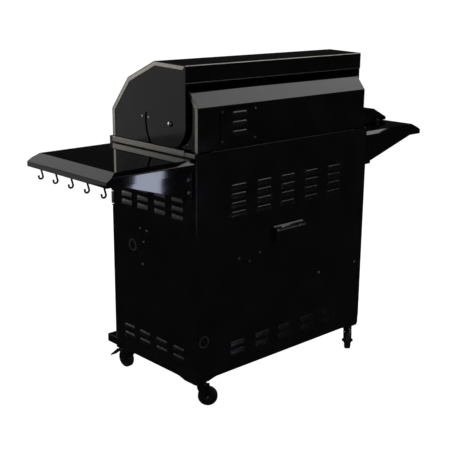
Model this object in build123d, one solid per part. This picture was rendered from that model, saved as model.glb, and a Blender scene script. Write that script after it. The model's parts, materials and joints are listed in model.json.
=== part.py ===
"""Free-standing gas barbecue grill on casters: cabinet, lid, side shelves, side burner.

Millimetres, +Z up, +Y towards the back of the grill, +X towards the shelf with the tool hooks.
The sizes below are written about the middle of the cabinet, with the floor at Z = 0. Every node
is moved by set_back when it is saved, so the origin is the floor point under the middle of the
whole grill.
"""

import os
from math import cos, radians, sin

from build123d import *

# ---- sheet metal and fits -------------------------------------------------------------------
sheet = 1.5  # wall of every folded panel
seam_gap = 0.5  # gap between two panels that meet at a seam
moving_gap = 1.5  # clear gap beside a moving panel
shaft_fit = 0.05  # radial clearance of a shaft in its hole
screw_r = 2.0  # shank radius of the panel screws
screw_head_r = 4.2
screw_head = 2.4
flat_head = 1.2  # low heads beside the lid's end plates
screw_length = 8.0
set_back = 27.0  # the cabinet's middle lies this far behind the middle of the whole grill

# ---- cabinet --------------------------------------------------------------------------------
cabinet_w = 873.5  # over the side panels
cabinet_d = 453.6  # front edge of the side panels to the back panel
deck_z = 901.0  # top of the back panel and of the firebox flange
side_top = 885.5  # top of the side panels, under the trim rails
tray_z = 128.0  # top of the base tray
tray_skirt = 30.0
tray_front = 66.0  # how far the tray stands out in front of the cabinet
post_w = 70.75  # rear return of each side panel
front_return = 24.0

# ---- louvres --------------------------------------------------------------------------------
louvre_h = 17.0
louvre_rise = 5.0  # how far a louvre stands out
back_louvre_w = 78.0
back_louvre_x = (-249.5, -124.5, 0.0, 119.5, 242.0)
back_louvre_z = (675.0, 707.5, 739.0, 770.0, 166.0, 198.0)
side_louvre_w = 70.0
side_louvre_y = (-143.0, -51.0, 45.0, 140.0)
side_louvre_z = (678.0, 708.0, 739.0, 770.0, 168.0, 200.0)

# ---- hose hood and grommets -----------------------------------------------------------------
hood_x = (-82.0, 71.0)
hood_z = (542.0, 597.0)
hood_rise = 24.0
hose_hole_r = 17.0
grommet_r = 22.0
grommet_rise = 4.0
side_hole = (-115.0, 524.5)  # Y, Z in both side panels
post_hole = (cabinet_w / 2 - 34.75, 244.0)  # X, Z in the right panel's rear return
panel_slot_fit = 0.3

# ---- doors ----------------------------------------------------------------------------------
door_z = (150.0, 645.0)
door_front = 14.2  # the doors' face in front of the side panels' front edge
door_d = 12.5
door_middle_gap = 3.0
door_side_gap = 1.75
hinge_in = 3.5  # pin axis inside the door's outer edge
pin_r = 2.5
pin_depth = 12.0  # pin length inside the door
door_handle_x = 34.0  # handle axis from the door's free edge
door_handle_z = (390.0, 590.0)
door_handle_r = 6.0
door_handle_out = 30.0
stile_w = 28.0
header_h = 5.0

# ---- drip tray front and control panel ------------------------------------------------------
panel_front = 18.2  # the control panel's face in front of the side panels' front edge
panel_z = (703.0, 905.0)
drip_front_z = (655.0, 700.0)
knob_z = 796.0
knob_pitch = 158.0
knob_count = 5
knob_r = 26.0
knob_depth = 30.0
side_knob_r = 17.0
side_knob_depth = 24.0
stem_r = 4.0
bezel_r = 33.0
bezel_t = 3.0
knob_gap = 1.0
button_r = 9.0
button_travel = 5.0
button_x = 395.0
button_stand = 9.0

# ---- firebox --------------------------------------------------------------------------------
box_x = cabinet_w / 2 - 24.75  # outside half width
box_front = 0.8 - cabinet_d / 2
box_back = cabinet_d / 2 - 20.8
box_floor = 722.0
box_shoulder = 752.0
box_knee = 872.0
drip_slot = (-60.0, 60.0)
ear_top = 1006.0

# ---- burners and cooking surface ------------------------------------------------------------
burner_r = 12.5
burner_wall = 1.2
burner_y = (43.8 - cabinet_d / 2, cabinet_d / 2 - 66.8)
tamer_w = 96.0
tamer_h = 32.0
tamer_y = (-140.0, 165.0)
ledge_z = 822.0
grate_count = 3
grate_w = 268.0
grate_gap = 3.0
grate_y = (14.8 - cabinet_d / 2, cabinet_d / 2 - 28.8)
grate_z = (878.0, 888.0)
bar_w = 8.0
bar_pitch = 19.6
pan_x = 330.0  # drip tray: half width
pan_z = (664.0, 697.0)
cup_x = 32.0
cup_y = 45.0
cradle_y = (-176.0, -166.0, 50.0, 60.0)
rack_y = (-66.0, 119.0)
rack_z = 1010.0
rack_x = box_x + 5
rack_wire = 2.0
rack_rod = 3.0
rack_pitch = 28.0

# ---- lid ------------------------------------------------------------------------------------
lid_x = cabinet_w / 2 + 1.25
lid_bottom = 908.5
lid_front = -222.4
lid_knee = (lid_front, 1006.5)
lid_brow = (-126.4, 1121.5)
lid_crown = (21.0, 1186.5)
lid_rear = 179.6
lid_rear_top = 1181.5  # the top falls a little to the back
lid_rear_skirt = 58.0
rim_w = 15.0
pivot_y = 100.3
pivot_z = 985.0
pivot_r = 5.0
slot_radius = 131.0  # radius of the spit slot about the pivot
slot_w = 9.0
slot_top_angle = 169.5  # degrees from +Y, turning up from the back
lid_handle_x = 345.0
lid_handle_r = 14.0
lid_handle_wall = 2.0
lid_handle_out = 52.0
lid_handle_z = 962.0
handle_post_x = 300.0
dial_r = 38.0
dial_d = 12.0
dial_wall = 3.0
needle_r = 27.0
dial_stem_r = 4.0
needle_rest = 135.0  # degrees from straight up the slope, towards the left

# ---- rear cowl and rear burner --------------------------------------------------------------
cowl_x = cabinet_w / 2 - 15.75
cowl_rear = 220.0
cowl_knee = 1047.0
cowl_top = (180.0, 1097.0)
cowl_flange = (158.0, 1101.0)  # front edge of the part that runs in under the lid
vent_x = (155.0, 323.0)
vent_z = (921.0, 1036.0)
vent_screw_in = 8.0
vent_slots_z = (953.0, 985.0, 1017.0)
vent_slot_x = (200.0, 275.0)
rear_burner_x = 260.0
rear_burner_y = (150.0, 184.0)
rear_burner_z = (932.0, 1030.0)

# ---- side shelves ---------------------------------------------------------------------------
shelf_z = 883.0
shelf_in = cabinet_w / 2 + 2.25
shelf_flat = shelf_in + 306
shelf_out = shelf_in + 348
shelf_drop = 858.0
shelf_low = 841.0
shelf_y = 228.0
shelf_bevel = 14.0
gusset_low = 750.0
gusset_out = shelf_in + 296
gusset_y = 214.5  # inner face of the gusset plates
bolt_r = 4.0
bolt_head_r = 7.0
bolt_head = 5.0
bracket_leg = 46.0
bracket_side = 34.0
bracket_bolt_x = shelf_in + 22
bracket_bolt_z = (778.0, 821.0)
hook_x = shelf_in + 326
hook_pitch = 90.0
hook_count = 5
hook_r = 3.2
hook_curl = 8.0
hook_bulge = 0.4  # the wire's ball end and bend over the wire
hook_drop = 30.0

# ---- side burner ----------------------------------------------------------------------------
cooker_x = -(shelf_in + 177)
cooker_y = -32.0
cooker_half = 104.0  # half of the square opening in the shelf
cooker_lip = 10.0
pan_depth = 34.0
ring_r = 40.0
ring_h = 20.0
trivet_half = 92.0
cover_half = 120.0
cover_rise = 42.0
cover_slope = 36.0
cover_z = 890.0
cover_pin_r = 3.0

# ---- casters --------------------------------------------------------------------------------
stem_x = cabinet_w / 2 - 41.75
stem_y = cabinet_d / 2 - 16.8
wheel_r = 35.0
wheel_w = 24.0
trail = 21.0
axle_r = 4.0
fork_wall = 2.5
fork_gap = 1.5
fork_top = 76.0
foot_low = 88.0
foot_size = 58.0
foot_reach = 112.0
foot_plate = 3.0
foot_ahead = 30.0  # front feet: corner in front of the stem
post_r = 5.0
pedal_reach = 80.0
pedal_w = 30.0
pedal_tip_z = 23.0

# ---- places worked out from the sizes above -------------------------------------------------
half_w = cabinet_w / 2
back = cabinet_d / 2
front = -back
door_face = front - door_front
door_back = door_face + door_d
door_edge = half_w - door_side_gap
hinge_x = door_edge - hinge_in
hinge_y = door_face + 5.0
panel_face = front - panel_front
knob_xs = [knob_pitch * (i - (knob_count - 1) / 2) for i in range(knob_count)]
lid_plate = lid_x - sheet  # outer face of the lid's end plates
rail_x = (half_w - 10.0, half_w + 1.25)
gusset_outer = gusset_y + sheet


def block(x, y, z):
    """Box between two values of X, Y and Z."""
    size = Box(x[1] - x[0], y[1] - y[0], z[1] - z[0])
    return Pos((x[0] + x[1]) / 2, (y[0] + y[1]) / 2, (z[0] + z[1]) / 2) * size


def prism_x(points, x):
    """Outline in (Y, Z) pushed from x[0] to x[1]."""
    plane = Plane(origin=(x[0], 0, 0), x_dir=(0, 1, 0), z_dir=(1, 0, 0))
    return extrude(plane * make_face(Polyline(*points, close=True)), x[1] - x[0])


def prism_y(points, y):
    """Outline in (X, Z) pushed from y[0] to y[1]."""
    plane = Plane(origin=(0, y[1], 0), x_dir=(1, 0, 0), z_dir=(0, -1, 0))
    return extrude(plane * make_face(Polyline(*points, close=True)), y[1] - y[0])


def rod(start, end, radius):
    """Round bar between two points."""
    a, b = Vector(*start), Vector(*end)
    bar = Cylinder(radius, (b - a).length, align=(Align.CENTER, Align.CENTER, Align.MIN))
    return Plane(origin=a, z_dir=(b - a)) * bar


def tube(start, end, radius, wall):
    """Round tube between two points."""
    return rod(start, end, radius) - rod(start, end, radius - wall)


def both_sides(part):
    """The part and its mirror image in the plane X = 0."""
    return [part, mirror(part, about=Plane.YZ)]


def joined(pieces):
    """One solid from pieces that touch or overlap."""
    first, *rest = pieces
    return first.fuse(*rest) if rest else first


def save(name, pieces):
    """Write one node, made of one solid or of a list of separate solids."""
    pieces = pieces if isinstance(pieces, list) else [pieces]
    solids = [solid for piece in pieces for solid in piece.solids()]
    moved = [Pos(0, set_back, 0) * solid for solid in solids]
    node = moved[0] if len(moved) == 1 else Compound(children=moved)
    export_step(node, f"parts/{name}.step")


# ---- screws ---------------------------------------------------------------------------------
def screw(spot, out, head_r=screw_head_r, shank_r=screw_r, head=screw_head, length=screw_length):
    """Pan-head screw whose head sits on the surface at spot and points along out."""
    spot, out = Vector(*spot), Vector(*out)
    top = rod(spot, spot + out * head, head_r)
    return top + rod(spot - out * length, spot, shank_r)


def screw_hole(spot, out, shank_r=screw_r, length=screw_length):
    """What is cut from a panel for such a screw."""
    spot, out = Vector(*spot), Vector(*out)
    return rod(spot - out * length, spot + out, shank_r + shaft_fit)


back_screws = [(x, back, z) for x, z in (
    (237.5, 510.0), (186.0, 490.0), (134.6, 511.0), (-184.0, 368.6),
)]
post_screw = (-396.0, back, 366.0)
side_screws = [(s * half_w, y, z) for s in (1, -1) for y, z in (
    (-72.0, 594.0), (-35.0, 591.0), (-53.0, 547.0), (-61.5, 463.0),
)]
vent_screws = [(x, cowl_rear + sheet, z)
               for x in (vent_x[0] + vent_screw_in, vent_x[1] - vent_screw_in)
               for z in (vent_z[0] + vent_screw_in, vent_z[1] - vent_screw_in)]
cowl_screws = [(s * cowl_x, 170.0, 924.0) for s in (1, -1)]
bracket_bolts = [(s * bracket_bolt_x, f * gusset_outer, z)
                 for s in (1, -1) for f in (1, -1) for z in bracket_bolt_z]


# ---- louvred sheets -------------------------------------------------------------------------
def louvre(width):
    """Pressed hood along local X, standing out along local Y, open below."""
    top, low = louvre_h / 2, -louvre_h / 2
    outer = prism_x([(-sheet, top), (louvre_rise, low), (-sheet, low)], (-width / 2, width / 2))
    inner = prism_x(
        [(-sheet, top - 2.0), (louvre_rise - 1.2, low), (-sheet, low)],
        (1.0 - width / 2, width / 2 - 1.0),
    )
    return outer, inner


def louvred(panel, width, places):
    """Panel with a pressed louvre at each place."""
    outer, inner = louvre(width)
    panel = panel - [place * (outer + Pos(0, 0.5, 0) * outer) for place in places]
    return joined([panel] + [place * (outer - inner) for place in places])


# ---- cabinet --------------------------------------------------------------------------------
def base_tray():
    y = (front - tray_front, back)
    outer = block((-half_w, half_w), y, (tray_z - tray_skirt, tray_z))
    inner = block(
        (sheet - half_w, half_w - sheet), (y[0] + sheet, y[1] - sheet),
        (tray_z - tray_skirt - 1, tray_z - sheet),
    )
    return outer - inner


def corner_foot(sx, sy):
    """Corner gusset under the tray with the socket for a caster stem."""
    low, high = foot_low, tray_z - sheet
    skirt = tray_z - tray_skirt
    corner_x = half_w - sheet
    corner_y = back - sheet if sy > 0 else stem_y + foot_ahead
    flare = [(0, low), (-foot_size, low), (-foot_size - 14, low + 4), (-foot_size - 32, skirt - 2),
             (-foot_reach, skirt), (-foot_reach, high), (0, high)]
    side = prism_x([(corner_y + p, z) for p, z in flare], (corner_x - foot_plate, corner_x))
    rear = prism_y([(corner_x + p, z) for p, z in flare], (corner_y - foot_plate, corner_y))
    floor = block((corner_x - foot_size, corner_x), (corner_y - foot_size, corner_y),
                  (low, low + foot_plate))
    socket = rod((stem_x, stem_y, low), (stem_x, stem_y, high), post_r + 6)
    foot = joined([side, rear, floor, socket])
    foot -= rod((stem_x, stem_y, low - 1), (stem_x, stem_y, high - 4), post_r + shaft_fit)
    if sx < 0:
        foot = mirror(foot, about=Plane.YZ)
    if sy < 0:
        foot = mirror(foot, about=Plane.XZ)
    return foot


def side_panel(sx):
    """Side sheet folded inwards at the front and round the rear corner."""
    x = (half_w - sheet, half_w)
    wall = block(x, (front, back), (tray_z, side_top))
    lip = block((half_w - front_return, half_w), (front, front + sheet), (tray_z, side_top))
    post = block((half_w - post_w, half_w), (back - sheet, back), (tray_z, deck_z))
    panel = joined([wall, lip, post])
    turn = Plane(origin=(half_w, 0, 0), x_dir=(0, -1, 0), z_dir=(0, 0, 1)).location
    places = [turn * Pos(-y, 0, z) for y in side_louvre_y for z in side_louvre_z]
    panel = louvred(panel, side_louvre_w, places)
    hole_y, hole_z = side_hole
    panel -= rod((x[0] - 1, hole_y, hole_z), (x[1] + 1, hole_y, hole_z), hose_hole_r + 3)
    if sx > 0:
        hole_x, hole_z = post_hole
        panel -= rod((hole_x, back - 5, hole_z), (hole_x, back + 1, hole_z), hose_hole_r + 3)
    for spot in side_screws:
        panel -= screw_hole((abs(spot[0]), spot[1], spot[2]), (1, 0, 0))
    if sx < 0:
        panel -= screw_hole((abs(post_screw[0]), post_screw[1], post_screw[2]), (0, 1, 0))
    return panel if sx > 0 else mirror(panel, about=Plane.YZ)


def back_panel():
    half = half_w - post_w - seam_gap
    panel = block((-half, half), (back - sheet, back), (tray_z, deck_z))
    hole_x, hole_z = (hood_x[0] + 8, hood_x[1] - 8), (hood_z[0], hood_z[0] + 36)
    panel -= block(hole_x, (back - 5, back + 1), hole_z)
    places = [Pos(x, back, z) for x in back_louvre_x for z in back_louvre_z]
    panel = louvred(panel, back_louvre_w, places)
    for spot in back_screws:
        panel -= screw_hole(spot, (0, 1, 0))
    return panel


def hose_hood():
    """Awning over the hose outlet, open below."""
    low, high = hood_z
    outline = [(back, low), (back + hood_rise, low), (back + hood_rise, high - 14), (back, high)]
    inside = [(back, low - 1), (back + hood_rise - sheet, low - 1),
              (back + hood_rise - sheet, high - 15.5), (back, high - 2)]
    outer = prism_x(outline, hood_x)
    return outer - prism_x(inside, (hood_x[0] + sheet, hood_x[1] - sheet))


def grommet(spot, out):
    """Rubber bush in a panel hole, with a bore for the hose."""
    spot, out = Vector(*spot), Vector(*out)
    inner = spot - out * (sheet + grommet_rise)
    bush = rod(inner, spot + out * grommet_rise, hose_hole_r + 3 - shaft_fit)
    bush += rod(spot, spot + out * grommet_rise, grommet_r)
    bush += rod(inner, spot - out * sheet, grommet_r)
    return bush - rod(inner - out, spot + out * (grommet_rise + 1), hose_hole_r)


def cable_grommets():
    hole_y, hole_z = side_hole
    side = grommet((half_w, hole_y, hole_z), (1, 0, 0))
    post = grommet((post_hole[0], back, post_hole[1]), (0, 1, 0))
    return both_sides(side) + [post]


def inner_frame():
    """Header rail over the doors, the stile that they close on, and the drip tray's runners."""
    inside = half_w - sheet - seam_gap
    header_z = (door_z[1] + 2, door_z[1] + 2 + header_h)
    header = block((-half_w, half_w), (door_face, front), header_z)
    clear = half_w - front_return - seam_gap
    web = block((-clear, clear), (front - 1, front + sheet + 1), header_z)
    beam = block((-inside, inside), (front + sheet + seam_gap, front + 15),
                 (header_z[0] - 25, header_z[1]))
    stile = block((-stile_w / 2, stile_w / 2), (front + sheet, front + 14),
                  (tray_z, header_z[0] - 15))
    frame = joined([header, web, beam, stile])
    pins = both_sides(rod((hinge_x, hinge_y, header_z[0] - 5), (hinge_x, hinge_y, header_z[1] + 5),
                          pin_r))
    return [frame - pins] + drip_runners()


def door_hardware():
    """Hinge pins in the header and the tray, and the two magnet catches on the stile."""
    top = rod((hinge_x, hinge_y, door_z[1] - pin_depth), (hinge_x, hinge_y, 652.0), pin_r)
    low = rod((hinge_x, hinge_y, tray_z), (hinge_x, hinge_y, door_z[0] + pin_depth), pin_r)
    washer = rod((hinge_x, hinge_y, tray_z), (hinge_x, hinge_y, door_z[0] - 0.5), pin_r + 2.5)
    catch = block((3.0, 13.0), (door_back + 0.5, front + sheet), (560.0, 600.0))
    return both_sides(top) + both_sides(joined([low, washer])) + both_sides(catch)


def door(sx):
    """Pan-shaped door with blocks that take its hinge pins."""
    x = (door_middle_gap / 2, door_edge)
    outer = block(x, (door_face, door_back), door_z)
    inner = block((x[0] + sheet, x[1] - sheet), (door_face + sheet, door_back + 1),
                  (door_z[0] + sheet, door_z[1] - sheet))
    pan = outer - inner
    depth = pin_depth + 3
    blocks = [block((hinge_x - 6, x[1]), (door_face, door_back), z)
              for z in ((door_z[0], door_z[0] + depth), (door_z[1] - depth, door_z[1]))]
    panel = joined([pan] + blocks)
    for z in ((door_z[0] - 1, door_z[0] + pin_depth + 1), (door_z[1] - pin_depth - 1, door_z[1] + 1)):
        panel -= rod((hinge_x, hinge_y, z[0]), (hinge_x, hinge_y, z[1]), pin_r + shaft_fit)
    return panel if sx > 0 else mirror(panel, about=Plane.YZ)


def door_handle(sx):
    """Upright bar handle on two posts near the free edge."""
    x, y = door_middle_gap / 2 + door_handle_x, door_face - door_handle_out
    bar = rod((x, y, door_handle_z[0]), (x, y, door_handle_z[1]), door_handle_r)
    posts = [rod((x, y, z), (x, door_face, z), door_handle_r - 1)
             for z in (door_handle_z[0] + 22, door_handle_z[1] - 22)]
    handle = joined([bar] + posts)
    return handle if sx > 0 else mirror(handle, about=Plane.YZ)


# ---- control panel, knobs, gas train --------------------------------------------------------
def control_panel():
    face = block((-half_w, half_w), (panel_face, panel_face + sheet), panel_z)
    top = block((-half_w, half_w), (panel_face, front - 2), (panel_z[1] - sheet, panel_z[1]))
    low = block((-half_w, half_w), (panel_face, front - 1), (panel_z[0], panel_z[0] + sheet))
    ends = both_sides(block((half_w - sheet, half_w), (panel_face, front - 1), panel_z))
    panel = joined([face, top, low] + ends)
    for x in knob_xs:
        panel -= rod((x, panel_face - 1, knob_z), (x, panel_face + 5, knob_z), stem_r + 2)
    panel -= rod((button_x, panel_face - 1, knob_z), (button_x, panel_face + 5, knob_z),
                 button_r + 2.0)
    return panel


def bezel(x, y, z, radius):
    """Ring behind a knob."""
    ring = rod((x, y - bezel_t, z), (x, y, z), radius)
    return ring - rod((x, y - bezel_t - 1, z), (x, y + 1, z), stem_r + 2)


def knob_bezels():
    rings = [bezel(x, panel_face, knob_z, bezel_r) for x in knob_xs]
    rings.append(bezel(cooker_x, -shelf_y, side_knob_z, side_bezel_r))
    collar = rod((button_x, panel_face - bezel_t, knob_z), (button_x, panel_face + 18, knob_z),
                 button_r + 2.0 - shaft_fit)
    collar += rod((button_x, panel_face - bezel_t, knob_z), (button_x, panel_face, knob_z),
                  button_r + 6)
    collar -= rod((button_x, panel_face - 9, knob_z), (button_x, panel_face + 14, knob_z),
                  button_r + 0.4)
    return rings + [collar]


def knob(x, y, z, radius, depth, stem_end):
    """Control knob with a grip bar on its face, on its valve stem."""
    base = y - bezel_t - knob_gap
    body = rod((x, base, z), (x, base - depth * 0.45, z), radius)
    body = chamfer(body.edges().sort_by(Axis.Y)[0], radius * 0.12)
    grip = block((x - radius * 0.24, x + radius * 0.24), (base - depth, base),
                 (z - radius * 0.92, z + radius * 0.92))
    stem = rod((x, base, z), (x, stem_end, z), stem_r)
    return joined([body, grip, stem])


side_knob_z = (shelf_z + shelf_low) / 2 - 3
side_bezel_r = side_knob_r + 1.0
valve_y = (front - 4, front + 34)
side_valve_y = (3 - gusset_y, 31 - gusset_y)
manifold_z = (knob_z - 34, knob_z - 16)
manifold_y = (front + 8, front + 26)


def valve(x, y, z, half=14.0):
    """Valve body with a bore for the knob's stem and an orifice nozzle behind."""
    body = block((x - half, x + half), y, (z - half - 2, z + half))
    body -= rod((x, y[0] - 1, z), (x, y[1] - 8, z), stem_r + shaft_fit)
    return body + rod((x, y[1], z), (x, y[1] + 16, z), 5.0)


def gas_valves():
    main = [valve(x, valve_y, knob_z) for x in knob_xs]
    return main + [valve(cooker_x, side_valve_y, side_knob_z, 13.0)]


inlet_x = 384.0
inlet_r = 7.0
inlet_low = 712.0
inlet_y = front + 36.0  # behind the door header, so the hose hangs free


def gas_manifold():
    """Square tube under the valves, with a boss and an inlet nipple that points down."""
    middle_z = (manifold_z[0] + manifold_z[1]) / 2
    tube_outer = block((knob_xs[0] - 30, inlet_x + 12), manifold_y, manifold_z)
    tube_inner = block((knob_xs[0] - 28, inlet_x + 10), (manifold_y[0] + 2, manifold_y[1] - 2),
                       (manifold_z[0] + 2, manifold_z[1] - 2))
    boss = block((inlet_x - 9, inlet_x + 9), (manifold_y[1] - 1, inlet_y + 10), manifold_z)
    nipple = rod((inlet_x, inlet_y, inlet_low), (inlet_x, inlet_y, manifold_z[0] + 1), inlet_r)
    pipe = joined([tube_outer - tube_inner, boss, nipple])
    pipe -= rod((inlet_x, manifold_y[1] - 3, middle_z), (inlet_x, inlet_y, middle_z), inlet_r - 3)
    return pipe - rod((inlet_x, inlet_y, inlet_low - 1), (inlet_x, inlet_y, middle_z), inlet_r - 3)


def igniter_button():
    y = panel_face - bezel_t - button_stand
    cap = rod((button_x, y, knob_z), (button_x, y + 20, knob_z), button_r)
    return chamfer(cap.edges().sort_by(Axis.Y)[0], 1.0)


# ---- firebox and what lies in it ------------------------------------------------------------
def firebox_outline(inset):
    """Cross-section of the firebox in (Y, Z), drawn inset by a wall."""
    return [
        (box_front + inset, deck_z + inset), (box_front + inset, box_knee),
        (-140.0 + inset, box_shoulder + inset * 0.4), (-62.0, box_floor + inset),
        (62.0, box_floor + inset), (176.0, box_shoulder + inset), (box_back - inset, 800.0),
        (box_back - inset, deck_z + inset),
    ]


def firebox():
    shell = prism_x(firebox_outline(0), (-box_x, box_x))
    shell -= prism_x(firebox_outline(sheet), (sheet - box_x, box_x - sheet))
    shell -= block((-300.0, 300.0), drip_slot, (box_floor - 5, box_floor + 5))
    flange = both_sides(block((box_x, half_w - 11.5), (box_front, box_back),
                              (deck_z - sheet, deck_z)))
    ear = prism_x([(pivot_y - 46, deck_z - 2), (pivot_y + 54, deck_z - 2), (pivot_y + 26, ear_top),
                   (pivot_y - 26, ear_top)],
                  (box_x - sheet, box_x))
    bush = rod((box_x, pivot_y, pivot_z), (lid_plate - sheet - moving_gap / 2, pivot_y, pivot_z),
               pivot_r + 5)
    ledges = [block((sheet - box_x, box_x - sheet), y, (ledge_z - sheet, ledge_z))
              for y in ((-192.0, -132.0), (burner_y[1] - 10, box_back - sheet))]
    grate_ledges = [block((sheet - box_x, box_x - sheet), y, (grate_z[0] - sheet, grate_z[0]))
                    for y in ((box_front + sheet, grate_y[0] + 8),
                              (grate_y[1] - 8, box_back - sheet))]
    box = joined([shell] + flange + both_sides(ear) + both_sides(bush) + ledges + grate_ledges)
    box -= both_sides(rod((box_x - 5, pivot_y, pivot_z), (lid_x + 5, pivot_y, pivot_z),
                          pivot_r + shaft_fit))
    for x in knob_xs:
        box -= rod((x, -200.0, knob_z), (x, -140.0, knob_z), burner_r + 0.5)
    return box


def main_burners():
    """Perforated tube burners, open at the valve end."""
    burners = []
    for x in knob_xs:
        pipe = tube((x, burner_y[0], knob_z), (x, burner_y[1], knob_z), burner_r, burner_wall)
        cap = rod((x, burner_y[1] - 3, knob_z), (x, burner_y[1], knob_z), burner_r - 0.4)
        hanger = block((x - 8, x + 8), (burner_y[1] - 9, burner_y[1]),
                       (knob_z + burner_r - 1, ledge_z - sheet))
        burners.append(joined([pipe, cap, hanger]))
    return burners


def flame_tamers():
    """Inverted V plates over the burners."""
    plates = []
    for x in knob_xs:
        half = tamer_w / 2
        top = ledge_z + tamer_h
        outer = [(x - half, ledge_z), (x, top), (x + half, ledge_z),
                 (x + half - 3.4, ledge_z), (x, top - 2.3), (x - half + 3.4, ledge_z)]
        plates.append(prism_y(outer, tamer_y))
    return plates


def cooking_grates():
    """Cast grates side by side."""
    grates = []
    pitch = grate_w + grate_gap
    for i in range(grate_count):
        middle = pitch * (i - (grate_count - 1) / 2)
        plate = block((middle - grate_w / 2, middle + grate_w / 2), grate_y, grate_z)
        slots = []
        count = int((grate_w - 2 * bar_w) // bar_pitch)
        for k in range(count):
            x = middle + bar_pitch * (k - (count - 1) / 2)
            half = (bar_pitch - bar_w) / 2
            slots.append(block((x - half, x + half), (grate_y[0] + 12, grate_y[1] - 12),
                               (grate_z[0] - 1, grate_z[1] + 1)))
        grates.append(plate - slots)
    return grates


def warming_rack():
    """Wire rack on four legs that stand on the firebox flange."""
    wires = [rod((-rack_x, y, rack_z), (rack_x, y, rack_z), rack_rod) for y in rack_y]
    count = int(2 * (rack_x - 20) // rack_pitch)
    for k in range(count + 1):
        x = rack_pitch * (k - count / 2)
        wires.append(rod((x, rack_y[0] - 6, rack_z + rack_rod), (x, rack_y[1] + 6, rack_z + rack_rod),
                         rack_wire))
    for x in (-rack_x, rack_x):
        for y in rack_y:
            wires.append(rod((x, y, deck_z), (x, y, rack_z + rack_rod), rack_rod))
    return joined(wires)


def drip_tray():
    """Pull-out tray under the firebox with its own front strip."""
    face_y = (panel_face, panel_face + 14)
    strip = block((-half_w, half_w), face_y, drip_front_z)
    strip -= block((sheet - half_w, half_w - sheet), (face_y[0] + sheet, face_y[1] + 1),
                   (drip_front_z[0] + sheet, drip_front_z[1] - sheet))
    pan_y = (panel_face + sheet, 190.0)
    pan = block((-pan_x, pan_x), pan_y, pan_z)
    pan -= block((sheet - pan_x, pan_x - sheet), (pan_y[0] + sheet, pan_y[1] - sheet),
                 (pan_z[0] + sheet, pan_z[1] + 1))
    pan -= rod((0, 0, pan_z[0] - 5), (0, 0, pan_z[0] + 5), 12.0)
    z = (drip_front_z[0] + drip_front_z[1]) / 2
    pull = rod((-80.0, face_y[0] - 22, z), (80.0, face_y[0] - 22, z), 5.0)
    posts = [rod((x, face_y[0] - 22, z), (x, face_y[0], z), 4.0) for x in (-68.0, 68.0)]
    return joined([strip, pan, pull] + posts)


def drip_runners():
    """Angle rails that carry the drip tray, and the cradle that the grease cup slides on."""
    ends = (front + 16, 192.0)
    rail = block((pan_x - 10, pan_x + 15), ends, (pan_z[0] - 2.5, pan_z[0] - 0.5))
    web = block((pan_x + 13, pan_x + 15), ends, (pan_z[0] - 2.5, 700.0))
    hangers = [block((pan_x + 2, pan_x + 15), y, (698.0, box_floor + 10))
               for y in ((-128.0, -112.0), (150.0, 166.0))]
    side = both_sides(joined([rail, web]))
    bar_z = (pan_z[0] - 6.0, pan_z[0] - 2.5)
    bars = [block((-pan_x, pan_x), y, bar_z) for y in (cradle_y[:2], cradle_y[2:])]
    slides = both_sides(block((cup_x + 1, cup_x + 9), (cradle_y[0], cradle_y[3]),
                              (bar_z[0] - 2, bar_z[0])))
    return [joined(side + bars + slides)]


def grease_cup():
    """Cup whose rim slides on the cradle under the hole in the drip tray."""
    rim_z = pan_z[0] - 6.0
    z = (rim_z - 46, rim_z)
    cup = block((-cup_x, cup_x), (-cup_y, cup_y), z)
    cup -= block((sheet - cup_x, cup_x - sheet), (sheet - cup_y, cup_y - sheet), (z[0] + sheet, z[1] + 1))
    rims = both_sides(block((cup_x - sheet, cup_x + 8), (-cup_y, cup_y), (rim_z, rim_z + 1.5)))
    return joined([cup] + rims)


def top_rail():
    """Bright trim along the top of a side panel, with its rear end cap."""
    bar = block(rail_x, (front - 0.5, 172.0), (side_top + 0.5, 905.7))
    cap = block((rail_x[0] + 2, half_w), (172.0, back - sheet - 0.5), (side_top + 0.5, deck_z))
    return joined([bar, cap])


# ---- rear cowl ------------------------------------------------------------------------------
def cowl_profile(inset):
    """Cross-section of the cowl in (Y, Z), drawn inset by a wall and open to the front."""
    low = deck_z + 0.3
    mouth = 199.0 - inset
    top_y, top_z = cowl_top
    flange_y, flange_z = cowl_flange
    return [
        (mouth, low + inset), (cowl_rear - inset, low + inset), (cowl_rear - inset, cowl_knee - inset * 0.35),
        (top_y - inset * 0.55, top_z - inset * 0.92), (flange_y - inset, flange_z - inset * 0.83),
        (flange_y - inset, flange_z - 14), (top_y - 10 - inset, top_z - 14), (mouth, cowl_knee - 3),
    ]


def cowl_end():
    """End plate with a hollow front edge that follows the lid's rounded corner."""
    low = deck_z + 0.3
    top_y, top_z = cowl_top
    straight = Polyline((126.0, low), (cowl_rear, low), (cowl_rear, cowl_knee), (top_y, top_z),
                        (195.0, 1040.0), (195.0, 1000.0))
    hollow = ThreePointArc((195.0, 1000.0), (168.0, 936.0), (126.0, low))
    plane = Plane(origin=(cowl_x - sheet, 0, 0), x_dir=(0, 1, 0), z_dir=(1, 0, 0))
    return extrude(plane * make_face(straight + hollow), sheet)


def rear_cowl():
    outer = prism_x(cowl_profile(0), (-cowl_x, cowl_x))
    inner = prism_x(cowl_profile(sheet), (sheet - cowl_x, cowl_x - sheet))
    cowl = joined([outer - inner] + both_sides(cowl_end()))
    x = (vent_x[0] + 16, vent_x[1] - 16)
    cowl -= block(x, (cowl_rear - 5, cowl_rear + 1), (vent_z[0] + 16, vent_z[1] - 16))
    cowl -= [screw_hole(spot, (0, 1, 0)) for spot in vent_screws]
    cowl -= [screw_hole(spot, (1 if spot[0] > 0 else -1, 0, 0)) for spot in cowl_screws]
    return cowl


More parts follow.
